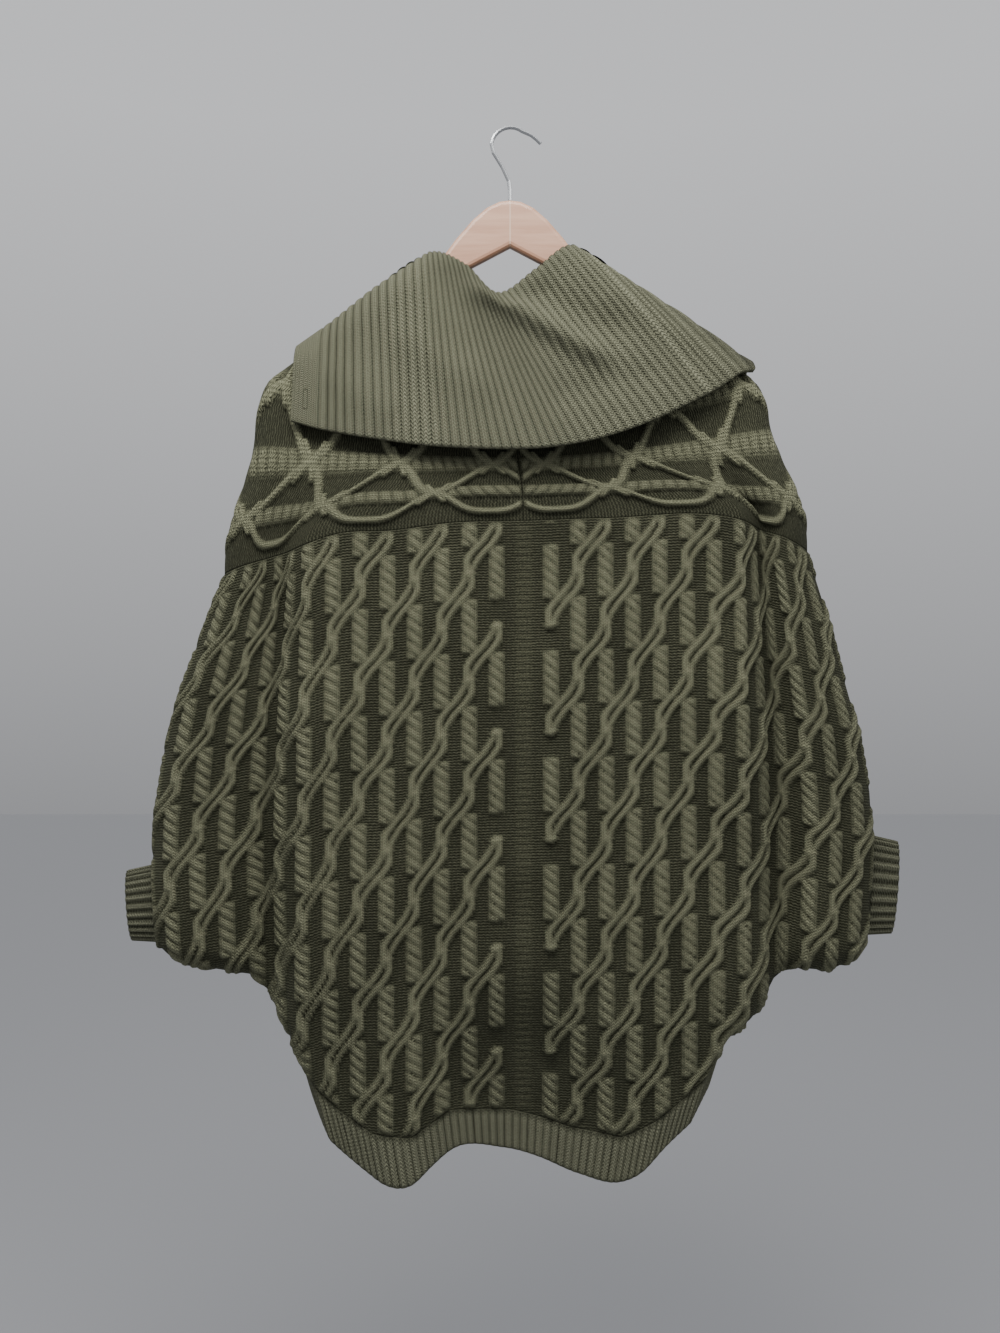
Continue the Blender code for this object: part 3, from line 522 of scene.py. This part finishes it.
def panel_base(k, z, front, inwards=0.0):
    """The panel without its relief: folds in depth, rounded over at the sides and at the
    sleeves' lower edges to meet the other panel. inwards is the wall's thickness."""
    folds = FRONT_FOLDS if front else BACK_FOLDS
    creases = FRONT_CREASES if front else BACK_CREASES
    x = cable_x(k, z)
    edge_x = side_x(z, k)
    side_share, side_lean = rounding(np.abs(edge_x - x))
    low_share, low_lean = rounding(z - straight(LOWER_EDGE, x))
    fade = np.clip((np.abs(x) - SLEEVE_X) / SLEEVE_START, 0, 1)
    low_share = 1 - (1 - low_share) * fade
    low_lean = low_lean * fade
    share = np.minimum(side_share, low_share)
    lean = np.maximum(side_lean, low_lean)
    out_x = np.sign(k) * side_lean
    out_z = -low_lean
    length = np.maximum(np.hypot(out_x, out_z), 1e-9)
    out_x = out_x / length * lean
    out_z = out_z / length * lean
    facing = np.sqrt(np.maximum(1 - lean**2, 0))
    top = np.where(k < 0, LEFT_MOUTH[0], RIGHT_MOUTH[0])
    low = np.where(k < 0, LEFT_MOUTH[1], RIGHT_MOUTH[1])
    mouth = np.clip((z - top) / (low - top), 0, 1)
    edge = MOUTH_DEPTH * np.sqrt(np.maximum(np.sin(np.pi * mouth), 0))
    sign = -1 if front else 1
    depth = fold_depth(k, z, folds) + creased(k, z, creases)
    y = sign * (edge + (depth - edge) * share - inwards * facing)
    y = y + sign * np.where(share < 0.05, SEAM_GAP / 2, 0)
    return np.stack([x - out_x * inwards, y, z - out_z * inwards], -1)


def tube(distance, radius, height):
    """Height of a round yarn bundle at a distance from its middle."""
    return height * np.sqrt(np.maximum(1 - (distance / radius) ** 2, 0))


def cable_relief(k, v):
    """Height of the cables at cable k (whole numbers on a cable) and v mm down the panel.

    Each cable is rope for half a period: a bundle sqrt(1 - (a / r)^2) cut by strokes that
    fall to the right. In the other half two strands cross in a knot, and from there run
    down to the next cable on the left, where they cross in its knot half a period lower."""
    u = k * CABLE_PITCH
    relief = np.zeros(np.broadcast(k, v).shape)
    nearest = np.round(k)
    for step in (-1, 0, 1, 2):
        cable = nearest + step
        on_panel = (np.abs(cable) > 0.5) & (np.abs(cable) <= CABLE_COUNT)
        even = np.mod(cable, 2) == 0
        rope_v = ROPE_START + np.where(even, CABLE_PERIOD / 2, 0)
        a = u - cable * CABLE_PITCH
        b = np.mod(v - rope_v + CABLE_PERIOD / 2, CABLE_PERIOD) - CABLE_PERIOD / 2
        if abs(step) <= 1:
            stroke = np.mod((b - 0.85 * a) / 9.2, 1) - 0.5
            ends = np.clip((23.5 - np.abs(b)) / 3, 0, 1)
            rope = tube(a, 7.0, 4.0) * (0.15 + 0.85 * np.sqrt(np.maximum(1 - (2 * stroke) ** 2, 0))) * ends
            relief = np.maximum(relief, rope * on_panel)
        knot_v = rope_v - CABLE_PERIOD / 2
        down = np.mod(v - knot_v + 4, CABLE_PERIOD) - 4
        t = down / (CABLE_PERIOD / 2)
        inside = (t > -0.06) & (t < 1.06) & on_panel & (np.abs(cable - 1) > 0.5)
        s = np.clip(t, 0, 1)
        path = a + CABLE_PITCH * (s - 0.13 * np.sin(2 * np.pi * s))
        slope = CABLE_PITCH * (1 - 0.26 * np.pi * np.cos(2 * np.pi * s)) / (CABLE_PERIOD / 2)
        across = path / np.sqrt(1 + slope**2)
        apart = 4.9 * np.sqrt(np.maximum(np.sin(np.pi * s), 0)) * (1 - 0.3 * np.sin(np.pi * s) ** 4)
        over = 1 + 0.1 * np.cos(np.pi * s)
        strands = np.maximum(
            tube(across - apart, 3.1, 3.6) * over, tube(across + apart, 3.1, 3.6) * (2 - over)
        )
        relief = np.maximum(relief, strands * inside)
        tie = tube(np.hypot((a + 0.6 * down) / 6.2, (down - 0.2 * a) / 4.4), 1.0, 4.6)
        relief = np.maximum(relief, tie * on_panel)
    return relief


def ladder_relief(k, v):
    """The centre strip between the two middle cables: a low rung every few rows."""
    near = np.clip(1 - (np.abs(k) / 0.36) ** 4, 0, 1)
    rung = 0.5 + 0.5 * np.cos(2 * np.pi * v / 6.4)
    return near * rung * 0.9


# Front and back panels: olive wool, knitted in cables from the yoke down to the hem
# band, each with both sleeve halves in one piece; joined at the arms' and lower edges.
CREST = 4.2


def body_panel(name, front):
    lines = np.linspace(-CABLE_COUNT, CABLE_COUNT, 28 * 12 + 1)
    edge = np.array([0.02, 0.06, 0.13, 0.22, 0.32])
    lines = np.sort(np.concatenate([lines, -CABLE_COUNT + edge, CABLE_COUNT - edge]))
    k = lines[None, :]
    top = top_height(k) - SEAM_GAP
    bottom = end_height(k)
    steps = np.sort(np.concatenate([np.linspace(0, 1, 252), 1 - np.array([0.0006, 0.0015, 0.003])]))
    z = top - (top - bottom) * steps[:, None]
    kk = np.broadcast_to(k, z.shape)
    base = panel_base(kk, z, front)
    v = top - z
    high = cable_relief(kk, v) + ladder_relief(kk, v)
    rim = np.minimum(np.minimum(v, z - bottom) / 5, (CABLE_COUNT - np.abs(kk)) * CABLE_PITCH / 6)
    high = high * np.clip(rim, 0, 1)
    normal = normals_of(base)
    facing = np.sign((normal[..., 1] * (-1 if front else 1)).mean())
    outside = base + normal * facing * high[..., None]
    coarse_k = np.broadcast_to(lines[None, ::6], (30, len(lines[::6])))
    coarse_steps = np.concatenate([np.linspace(0, 0.94, 27), [0.97, 0.99, 1.0]])[:, None]
    coarse_z = top[:, ::6] - (top - bottom)[:, ::6] * coarse_steps
    inside = panel_base(coarse_k, coarse_z, front, WALL)
    piece = wall_piece(
        name,
        [
            (outside, high / CREST, kk * CABLE_PITCH, v),
            (inside, 0.15, coarse_k * CABLE_PITCH, top[:, ::6] - coarse_z),
        ],
        cable_wool,
        four_rims(0, 1),
    )
    return piece


wool_front = body_panel("wool_body_front", True)
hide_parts("body_front")
wool_back = body_panel("wool_body_back", False)
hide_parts("body_back")

# Yoke: a band knitted sideways round the shoulders, two halves in front joined by an
# upright seam, one piece behind; two rows of rope, knots and a lattice of cords.
SHOULDER = (
    (-214, -226), (-204, -214), (-190, -203), (-128, -158), (-78, -122), (0, -84),
    (78, -126), (135, -165), (194, -204), (206, -214), (216, -226),
)
# share, left x, left z, middle z, right x, right z
YOKE_ROWS = (
    (0.00, -78, -122, -192, 78, -126),
    (0.25, -132, -161, -222, 136, -166),
    (0.45, -206, -217, -258, 209, -217),
    (0.63, -219, -284, -290, 223, -266),
    (0.80, -230, -333, -311, 238, -314),
    (1.00, -242, -379, -336, 252, -360),
)
LATTICE_PITCH = 85.0
LATTICE_FIRST = 23.5
CABLE_ON_YOKE = 18.4
# Height of the yoke's band, the shares of it at which the rope rows and the loops lie,
# and where it starts to pass over into the panel below
BAND_HEIGHT = 150.0
UPPER_ROPE = 0.63
LOWER_ROPE = 0.80
LOOPS = 0.935
JOIN = 0.55
JOIN_FALL = 122.0
CORD = (3.2, 4.0)
SLOPE_COS = 0.84
SLOPE_SIN = 0.54


def shoulder_drop(x, z):
    return straight(SHOULDER, x) - z


def hang_depth(x, z):
    """Depth of the yoke off the middle: thin over the hanger, wider as it drops."""
    return 17.0 + 0.07 * np.maximum(shoulder_drop(x, z), 0)


def yoke_base(k, share, front, inwards=0.0):
    """The yoke without its relief, on the line of cable k at a share of the way down.
    Its lower half passes over into the body panel's own surface."""
    w = k / CABLE_COUNT
    left_x, left_z, middle_z, right_x, right_z = [curve(YOKE_ROWS, share, c) for c in range(1, 6)]
    centre = CENTRE_X * share
    edge_x = np.where(w < 0, left_x, right_x)
    edge_z = np.where(w < 0, left_z, right_z)
    edge_z = np.where(share <= 0.45, shoulder_drop(edge_x, 0.0), edge_z)
    x = centre + np.abs(w) * (edge_x - centre)
    z = middle_z + (edge_z - middle_z) * np.abs(w) ** 1.6
    top_part, top_lean = rounding(SLOPE_COS * shoulder_drop(x, z))
    side_part, side_lean = rounding(np.abs(edge_x - x))
    side_part = np.where(share > 0.4, side_part, 1.0)
    side_lean = np.where(share > 0.4, side_lean, 0.0)
    part = np.minimum(top_part, side_part)
    lean = np.maximum(top_lean, side_lean)
    facing = np.sqrt(np.maximum(1 - lean**2, 0))
    out_x = np.sign(w) * (side_lean + SLOPE_SIN * top_lean)
    out_z = SLOPE_COS * top_lean
    length = np.maximum(np.hypot(out_x, out_z), 1e-9)
    out_x = out_x / length * lean
    out_z = out_z / length * lean
    sign = -1 if front else 1
    y = sign * (hang_depth(x, z) * part - inwards * facing)
    y = y + sign * np.where(part < 0.05, SEAM_GAP / 2, 0)
    own = np.stack([x - out_x * inwards, y, z - out_z * inwards], -1)
    pull = np.clip((share - JOIN) / (1 - JOIN), 0, 1)[..., None]
    pull = pull * pull * (3 - 2 * pull)
    drop = (1 - share) * JOIN_FALL * (1.0 + 0.5 * w**2)
    met = panel_base(k, top_height(k) + drop, front, inwards)
    return own * (1 - pull) + met * pull


def lattice_relief(across, share):
    """Height of the yoke's lattice. Rope runs round in two rows; cords swing between
    them from knot to knot, 0.5 - 0.5 cos(2 pi turn), and hang in loops below."""
    turn = (np.abs(across) - LATTICE_FIRST) / LATTICE_PITCH
    swing = 0.5 - 0.5 * np.cos(2 * np.pi * turn)
    swing = swing * 0.75 + 0.25 * np.abs(np.mod(2 * turn + 1, 2) - 1)
    down = (share - UPPER_ROPE) * BAND_HEIGHT
    row_b = (LOWER_ROPE - UPPER_ROPE) * BAND_HEIGHT
    relief = np.zeros(across.shape)
    for row, phase in ((0.0, 0.0), (row_b, 0.5), (-row_b * 1.1, 0.5)):
        off = down - row
        stroke = np.mod((across * np.sign(across + 1e-6) + 0.7 * off) / 9.8, 1) - 0.5
        to_knot = np.abs(np.mod(turn - phase + 0.5, 1) - 0.5) * LATTICE_PITCH
        ends = np.clip((to_knot - 7) / 5, 0, 1)
        rope = tube(off, 5.8, 3.4) * (0.1 + 0.9 * np.sqrt(np.maximum(1 - (2 * stroke) ** 2, 0))) * ends
        knot = tube(np.hypot(to_knot / 8.5, off / 6.0), 1.0, 4.4)
        cross = np.minimum(np.abs(to_knot - 1.1 * np.abs(off)), 9)
        knot = np.maximum(knot * 0.7, tube(cross, 2.6, 4.4) * (np.abs(off) < 9))
        relief = np.maximum(relief, np.maximum(rope, knot))
    slope = np.hypot(1, 0.9 * np.sin(2 * np.pi * turn))
    cord = down - row_b * swing
    relief = np.maximum(relief, tube(cord / slope, *CORD))
    above = down + row_b * 1.1 * swing
    relief = np.maximum(relief, tube(above / slope, *CORD) * (down < 3))
    loop = (LOOPS - UPPER_ROPE) * BAND_HEIGHT
    hang = loop - (loop - row_b) * (0.5 - 0.5 * np.cos(2 * np.pi * turn)) ** 1.6
    relief = np.maximum(relief, tube((down - hang) / np.sqrt(slope), *CORD) * (down > row_b - 3))
    return relief


def yoke_piece(name, front, start, stop, count):
    lines = np.linspace(start, stop, count)
    near = np.array([0.02, 0.06, 0.13, 0.22, 0.32])
    if start < -13:
        lines = np.sort(np.concatenate([lines, start + near]))
    if stop > 13:
        lines = np.sort(np.concatenate([lines, stop - near]))
    k = lines[None, :]
    share = np.linspace(0, 1, 118)[:, None]
    kk, ss = np.broadcast_arrays(k, share)
    base = yoke_base(kk, ss, front)
    across = kk * CABLE_ON_YOKE
    high = lattice_relief(across, ss)
    drop = ss * BAND_HEIGHT
    rim = np.minimum(np.minimum((1 - ss) * BAND_HEIGHT / 4, (CABLE_COUNT - np.abs(kk)) * 2.4), ss * 12)
    rim = np.minimum(rim, np.minimum(kk - start, stop - kk) * CABLE_ON_YOKE / 3)
    high = high * np.clip(rim, 0, 1)
    normal = normals_of(base)
    facing = np.sign((normal[..., 1] * (-1 if front else 1)).mean())
    outside = base + normal * facing * high[..., None]
    some = lines[::5] if (len(lines) - 1) % 5 == 0 else np.append(lines[::5], lines[-1])
    inner_k, inner_s = np.broadcast_arrays(some[None, :], np.linspace(0, 1, 22)[:, None])
    inside = yoke_base(inner_k, inner_s, front, WALL)
    return wall_piece(
        name,
        [
            (outside, high / CREST, drop, across),
            (inside, 0.15, inner_s * BAND_HEIGHT, inner_k * CABLE_ON_YOKE),
        ],
        cable_wool,
        four_rims(0, 1),
    )


half_gap = SEAM_GAP / 2 / CABLE_PITCH
# node, front or back, from cable, to cable, columns, flat width, length and area
YOKE_PIECES = (
    ("yoke_front_left", True, -CABLE_COUNT, -half_gap, 176, 0.29, 0.16, 0.034),
    ("yoke_front_right", True, half_gap, CABLE_COUNT, 176, 0.29, 0.16, 0.034),
    ("yoke_back", False, -CABLE_COUNT, CABLE_COUNT, 351, 0.58, 0.17, 0.068),
)
for node_name, front, start, stop, count, width, length, area in YOKE_PIECES:
    piece = yoke_piece("wool_" + node_name, front, start, stop, count)
    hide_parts(node_name)

# Collar: one ribbed piece that folds over at the neck and lies over both shoulders; a
# plain band with a buttonhole closes its short end on the left shoulder, and a soft
# drape fold runs from the neck down to the right. Photo-left to right: upper x, z,
# lower x, z, how far it stands off.
COLLAR_ROWS = (
    (-179, -186, -181, -254, 2),
    (-152, -167, -153, -262, 3),
    (-116, -138, -110, -270, 5),
    (-72, -109, -60, -277, 8),
    (-38, -122, 8, -280, 11),
    (-10, -147, 60, -274, 13),
    (22, -126, 110, -258, 10),
    (56, -102, 161, -233, 6),
    (100, -130, 180, -221, 3),
    (150, -162, 193, -212, 2),
    (203, -199, 204, -209, 1),
)
COLLAR_TOP = (
    (-179, -186), (-152, -167), (-116, -138), (-72, -109), (-8, -72), (56, -102),
    (100, -130), (150, -162), (203, -199),
)
COLLAR_NECK = (3, 7)
COLLAR_BACK_DROP = 10.0
COLLAR_RIB = 8.0
BAND_WIDTH = 24.0
BUTTONHOLE = (-169, -236, 3.6, 16)
# Soft folds in the collar's front: from x, z to x, z, width, height
COLLAR_FOLDS = (
    (-20, -148, 76, -204, 10, 11.0),
    (4, -136, 92, -182, 12, -4.5),
    (-95, -180, -20, -235, 16, 2.6),
    (-150, -215, -100, -250, 14, 3.0),
    (-60, -130, -30, -200, 14, -3.0),
    (40, -235, 120, -215, 12, -2.2),
    (85, -150, 150, -190, 12, 2.2),
)
COLLAR_LENGTH = np.concatenate(
    [[0], np.cumsum(np.hypot(*np.diff(np.array(COLLAR_ROWS)[:, 2:4], axis=0).T))]
)


def neck_share(s):
    """1 where the collar folds over at the neck, 0 over the shoulders."""
    low, high = COLLAR_NECK
    return np.clip(np.minimum(s - low, high - s) / 0.4, 0, 1)


def collar_folds(x, z):
    """Height of the soft folds: a bell across each fold's line, faded at its ends."""
    total = 0
    for x0, z0, x1, z1, wide, high in COLLAR_FOLDS:
        length = math.hypot(x1 - x0, z1 - z0)
        ux, uz = (x1 - x0) / length, (z1 - z0) / length
        along = ((x - x0) * ux + (z - z0) * uz) / length
        across = (x - x0) * -uz + (z - z0) * ux
        ends = np.clip(np.minimum(along + 0.25, 1.15 - along) / 0.3, 0, 1)
        total = total + high * np.exp(-((across / wide) ** 2)) * ends * ends * (3 - 2 * ends)
    return total


def collar_point(s, r, front, lift):
    """The collar's surface at place s along it and r from its top, 0, to its edge, 1."""
    rows = np.array([(i,) + row for i, row in enumerate(COLLAR_ROWS)])
    top_x, top_z, low_x, low_z, off = [curve(rows, s, column) for column in range(1, 6)]
    if not front:
        low_z = low_z - COLLAR_BACK_DROP * np.sin(np.pi * s / 10) ** 2
        off = off * 0.5
    x = top_x + (low_x - top_x) * r
    z = top_z + (low_z - top_z) * r
    gap = SLOPE_COS * (straight(COLLAR_TOP, x) - z)
    part, lean = rounding(gap)
    facing = np.sqrt(np.maximum(1 - lean**2, 0))
    on_neck = neck_share(s)
    fold = np.minimum(r * np.hypot(low_x - top_x, low_z - top_z) / 9.0, 1.0)
    turned = np.sqrt(np.maximum(1 - (1 - fold) ** 2, 0))
    depth = (hang_depth(x, z) + 7.5 + off * r) * part
    depth = depth - 5.5 * part * (1 - turned) * on_neck
    if front:
        depth = depth + collar_folds(x, z) * part * np.clip(r / 0.12, 0, 1)
    rise = (1 - turned) * on_neck
    facing = facing * np.sqrt(np.maximum(1 - rise**2, 0))
    sign = -1 if front else 1
    out_x = np.copysign(SLOPE_SIN * lean, x)
    out_z = np.maximum(SLOPE_COS * lean, rise)
    return np.stack([x + out_x * lift, sign * (depth + lift * facing), z + out_z * lift], -1)


def neck_edge(s, front, inwards):
    """The neck seam of the yoke under place s of the collar."""
    low, high = COLLAR_NECK
    w = (s - low) / (high - low) * 2 - 1
    point = yoke_base(w * CABLE_COUNT, np.zeros(np.shape(s)), front, inwards)
    point[..., 2] += SEAM_GAP + 0.9
    point[..., 1] = np.where((s == low) | (s == high), 0.0, point[..., 1])
    return point


def collar_rib(s):
    """Height of the ribs, 0 to 1: a round crest and a narrow groove every pitch, and a
    plain band at the left end."""
    length = np.interp(s, range(len(COLLAR_LENGTH)), COLLAR_LENGTH)
    rib = np.sqrt(np.maximum(1 - (2 * (np.mod(length / COLLAR_RIB, 1) - 0.5)) ** 2, 0))
    plain = np.clip((BAND_WIDTH - length) / 1.5 + 0.5, 0, 1)
    return rib * (1 - plain) + 0.9 * plain


def collar_patch(kind, low, high, inside):
    """One grid of the collar, from free edge to free edge over a shoulder, or from the
    free edge down the stand to the neck seam."""
    start, stop = np.interp([low, high], range(len(COLLAR_LENGTH)), COLLAR_LENGTH)
    count = int((stop - start) / (6.0 if inside else 0.8)) + 1
    s = np.interp(np.linspace(start, stop, count), COLLAR_LENGTH, range(len(COLLAR_LENGTH)))
    s[0], s[-1] = low, high
    if inside:
        down = np.array([1, 0.75, 0.5, 0.25, 0.1, 0.04, 0])
    else:
        down = np.append(np.linspace(1, 0.06, 60), [0.045, 0.03, 0.018, 0.008, 0])
    lift = -WALL if inside else 2.2 * collar_rib(s)
    front = kind != "back"
    ss, rr = np.meshgrid(s, down)
    edge = np.clip((1 - rr) * 90 / 4, 0, 1) * 0.5 + 0.5
    points = collar_point(ss, rr, front, lift * (1 if inside else edge))
    if kind == "over":
        other = collar_point(ss, rr, False, lift * (1 if inside else edge))
        points = np.concatenate([points, other[-2::-1]])
    else:
        top = points[-1]
        foot = neck_edge(s, front, 0.0 if inside else WALL)
        stand = []
        for share in (0.25, 0.5, 0.75, 1.0):
            row = top + (foot - top) * share
            lean = (1 - share) * share * 4
            row[:, 1] += (foot[:, 1] * 0.7 + top[:, 1] * 0.3 - row[:, 1]) * lean * 0.6
            stand.append(row)
        points = np.concatenate([points, np.array(stand)])
    length = np.interp(s, range(len(COLLAR_LENGTH)), COLLAR_LENGTH)
    fall = np.concatenate([[0], np.cumsum(np.linalg.norm(np.diff(points[:, count // 2], axis=0), axis=1))])
    high = 0.15 if inside else collar_rib(s)[None, :]
    return points, high, length[None, :], fall[:, None]


def collar_piece():
    low, high = COLLAR_NECK
    last = len(COLLAR_ROWS) - 1
    parts = (("over", 0, low), ("front", low, high), ("back", low, high), ("over", high, last))
    grids = [collar_patch(kind, a, b, False) for kind, a, b in parts]
    grids += [collar_patch(kind, a, b, True) for kind, a, b in parts]
    rims = []
    for i, (kind, _, _) in enumerate(parts):
        rims += [((i, TOP), (i + 4, TOP)), ((i, BOTTOM), (i + 4, BOTTOM))]
    rims += [((0, FIRST), (4, FIRST)), ((3, LAST), (7, LAST))]
    return wall_piece("wool_collar", grids, rib_wool, rims)


def cut_slit(piece, place):
    """Cuts an upright slit right through the front of a piece."""
    x, z, wide, tall = place
    corners = [
        ((x + i * wide / 2) * MM, y, (z + j * tall / 2) * MM)
        for y in (-0.06, -0.001) for i, j in ((-1, -1), (1, -1), (1, 1), (-1, 1))
    ]
    mesh = bpy.data.meshes.new("slit")
    sides = [(0, 1, 5, 4), (1, 2, 6, 5), (2, 3, 7, 6), (3, 0, 4, 7)]
    mesh.from_pydata(corners, [], [(3, 2, 1, 0), (4, 5, 6, 7)] + sides)
    cutter = bpy.data.objects.new("slit", mesh)
    bpy.context.scene.collection.objects.link(cutter)
    cut = piece.modifiers.new("slit", "BOOLEAN")
    cut.operation = "DIFFERENCE"
    cut.object = cutter
    cut.solver = "EXACT"
    bpy.context.view_layer.update()
    made = bpy.data.meshes.new_from_object(piece.evaluated_get(bpy.context.evaluated_depsgraph_get()))
    piece.modifiers.clear()
    piece.data = made
    bpy.data.objects.remove(cutter)


wool_collar = collar_piece()
cut_slit(wool_collar, BUTTONHOLE)
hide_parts("collar")

# Hem bands: ribbed, one in front and one behind, hanging from the panels' lower edges
# and drawn in a little at their own.
HEM_EDGE = (
    (-172, -808), (-155, -832), (-135, -852), (-117, -866), (-100, -876), (-80, -876),
    (-64, -864), (-50, -855), (-5, -858), (25, -866), (55, -875), (88, -876), (106, -866),
    (124, -848), (150, -826), (172, -804),
)
HEM_CABLES = (-8.5, 7.5)
HEM_DRAW = 0.93
HEM_RIB = 6.8


def hem_grid(front, count, rows, inside):
    """Outside or inside of a hem band: rows from the seam down, columns evenly along."""
    k = np.linspace(*HEM_CABLES, 400)
    edge = panel_base(k, end_height(k), front, WALL if inside else 0.0)
    plain = panel_base(k, end_height(k), front)
    total = np.concatenate([[0], np.cumsum(np.linalg.norm(np.diff(plain, axis=0), axis=1))])
    marks = np.linspace(0, total[-1], count)
    seam = np.stack([np.interp(marks, total, edge[:, axis]) for axis in range(3)], -1)
    above = np.stack([np.interp(marks, total, plain[:, axis]) for axis in range(3)], -1)
    low_x = above[:, 0] * HEM_DRAW
    low = np.stack([low_x, above[:, 1], curve(HEM_EDGE, low_x, 1) + (0 if front else 6)], -1)
    sign = -1 if front else 1
    rib = np.sqrt(np.maximum(1 - (2 * (np.mod(marks / HEM_RIB, 1) - 0.5)) ** 2, 0))
    if inside:
        low[:, 1] -= sign * WALL
    share = np.linspace(0, 1, rows)[:, None, None]
    points = seam * (1 - share) + low * share
    points[..., 2] -= SEAM_GAP * 1.8 * (1 - share[..., 0])
    swell = np.clip(share[..., 0] / 0.16, 0, 1) * (0.6 + 0.4 * np.clip((1 - share[..., 0]) / 0.1, 0, 1))
    if not inside:
        points[..., 1] += sign * 1.9 * rib * swell
    high = 0.15 if inside else rib[None, :] * np.clip(swell, 0.2, 1)
    return points, high, marks[None, :], np.linspace(0, 34, rows)[:, None]


for hem_name, front in (("hem_front", True), ("hem_back", False)):
    grids = [hem_grid(front, 620, 18, False), hem_grid(front, 60, 5, True)]
    hem = wall_piece("wool_" + hem_name, grids, rib_wool, four_rims(0, 1))
    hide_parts(hem_name)

# Cuffs: short ribbed tubes round the sleeves' ends, turned a little backwards.
CUFF_LENGTH = 26.0
CUFF_RIBS = 26
# name, side, top and bottom of the sleeve's mouth
CUFFS = (("cuff_left", -1, *LEFT_MOUTH), ("cuff_right", 1, *RIGHT_MOUTH))


def cuff_grid(side, top, low, count, rows, lift):
    """A ring of ribs round the mouth of a sleeve; lift is the ribs' height, or minus the
    wall for the inside."""
    turn = np.linspace(0, 2 * np.pi, count)[None, :]
    share = np.linspace(0, 1, rows)[:, None]
    rib = 0.5 - 0.5 * np.cos(turn * CUFF_RIBS)
    raised = lift * rib if lift > 0 else lift
    half = (top - low) / 2 - 1
    z = (top + low) / 2 + (half - 3 * share + raised) * np.cos(turn)
    side_table = LEFT_SIDE if side < 0 else RIGHT_SIDE
    x = straight(side_table, -z) + side * (SEAM_GAP + 0.4)
    y = (MOUTH_DEPTH + raised) * np.copysign(np.abs(np.sin(turn)) ** 0.8, np.sin(turn)) + 0 * share
    reach = np.array([side * 0.95, 0.25, -0.12]) * CUFF_LENGTH
    points = np.stack([x, y, z], -1) + share[..., None] * reach
    high = 0.15 if lift < 0 else rib
    around = turn * half * 0.7
    return points, high, around, share * CUFF_LENGTH


for cuff_name, side, top, low in CUFFS:
    grids = [
        cuff_grid(side, top, low, CUFF_RIBS * 10 + 1, 14, 1.6),
        cuff_grid(side, top, low, CUFF_RIBS + 1, 3, -WALL),
    ]
    ends = [((0, TOP), (1, TOP)), ((0, BOTTOM), (1, BOTTOM))]
    cuff = wall_piece("wool_" + cuff_name, grids, rib_wool, ends)
    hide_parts(cuff_name)
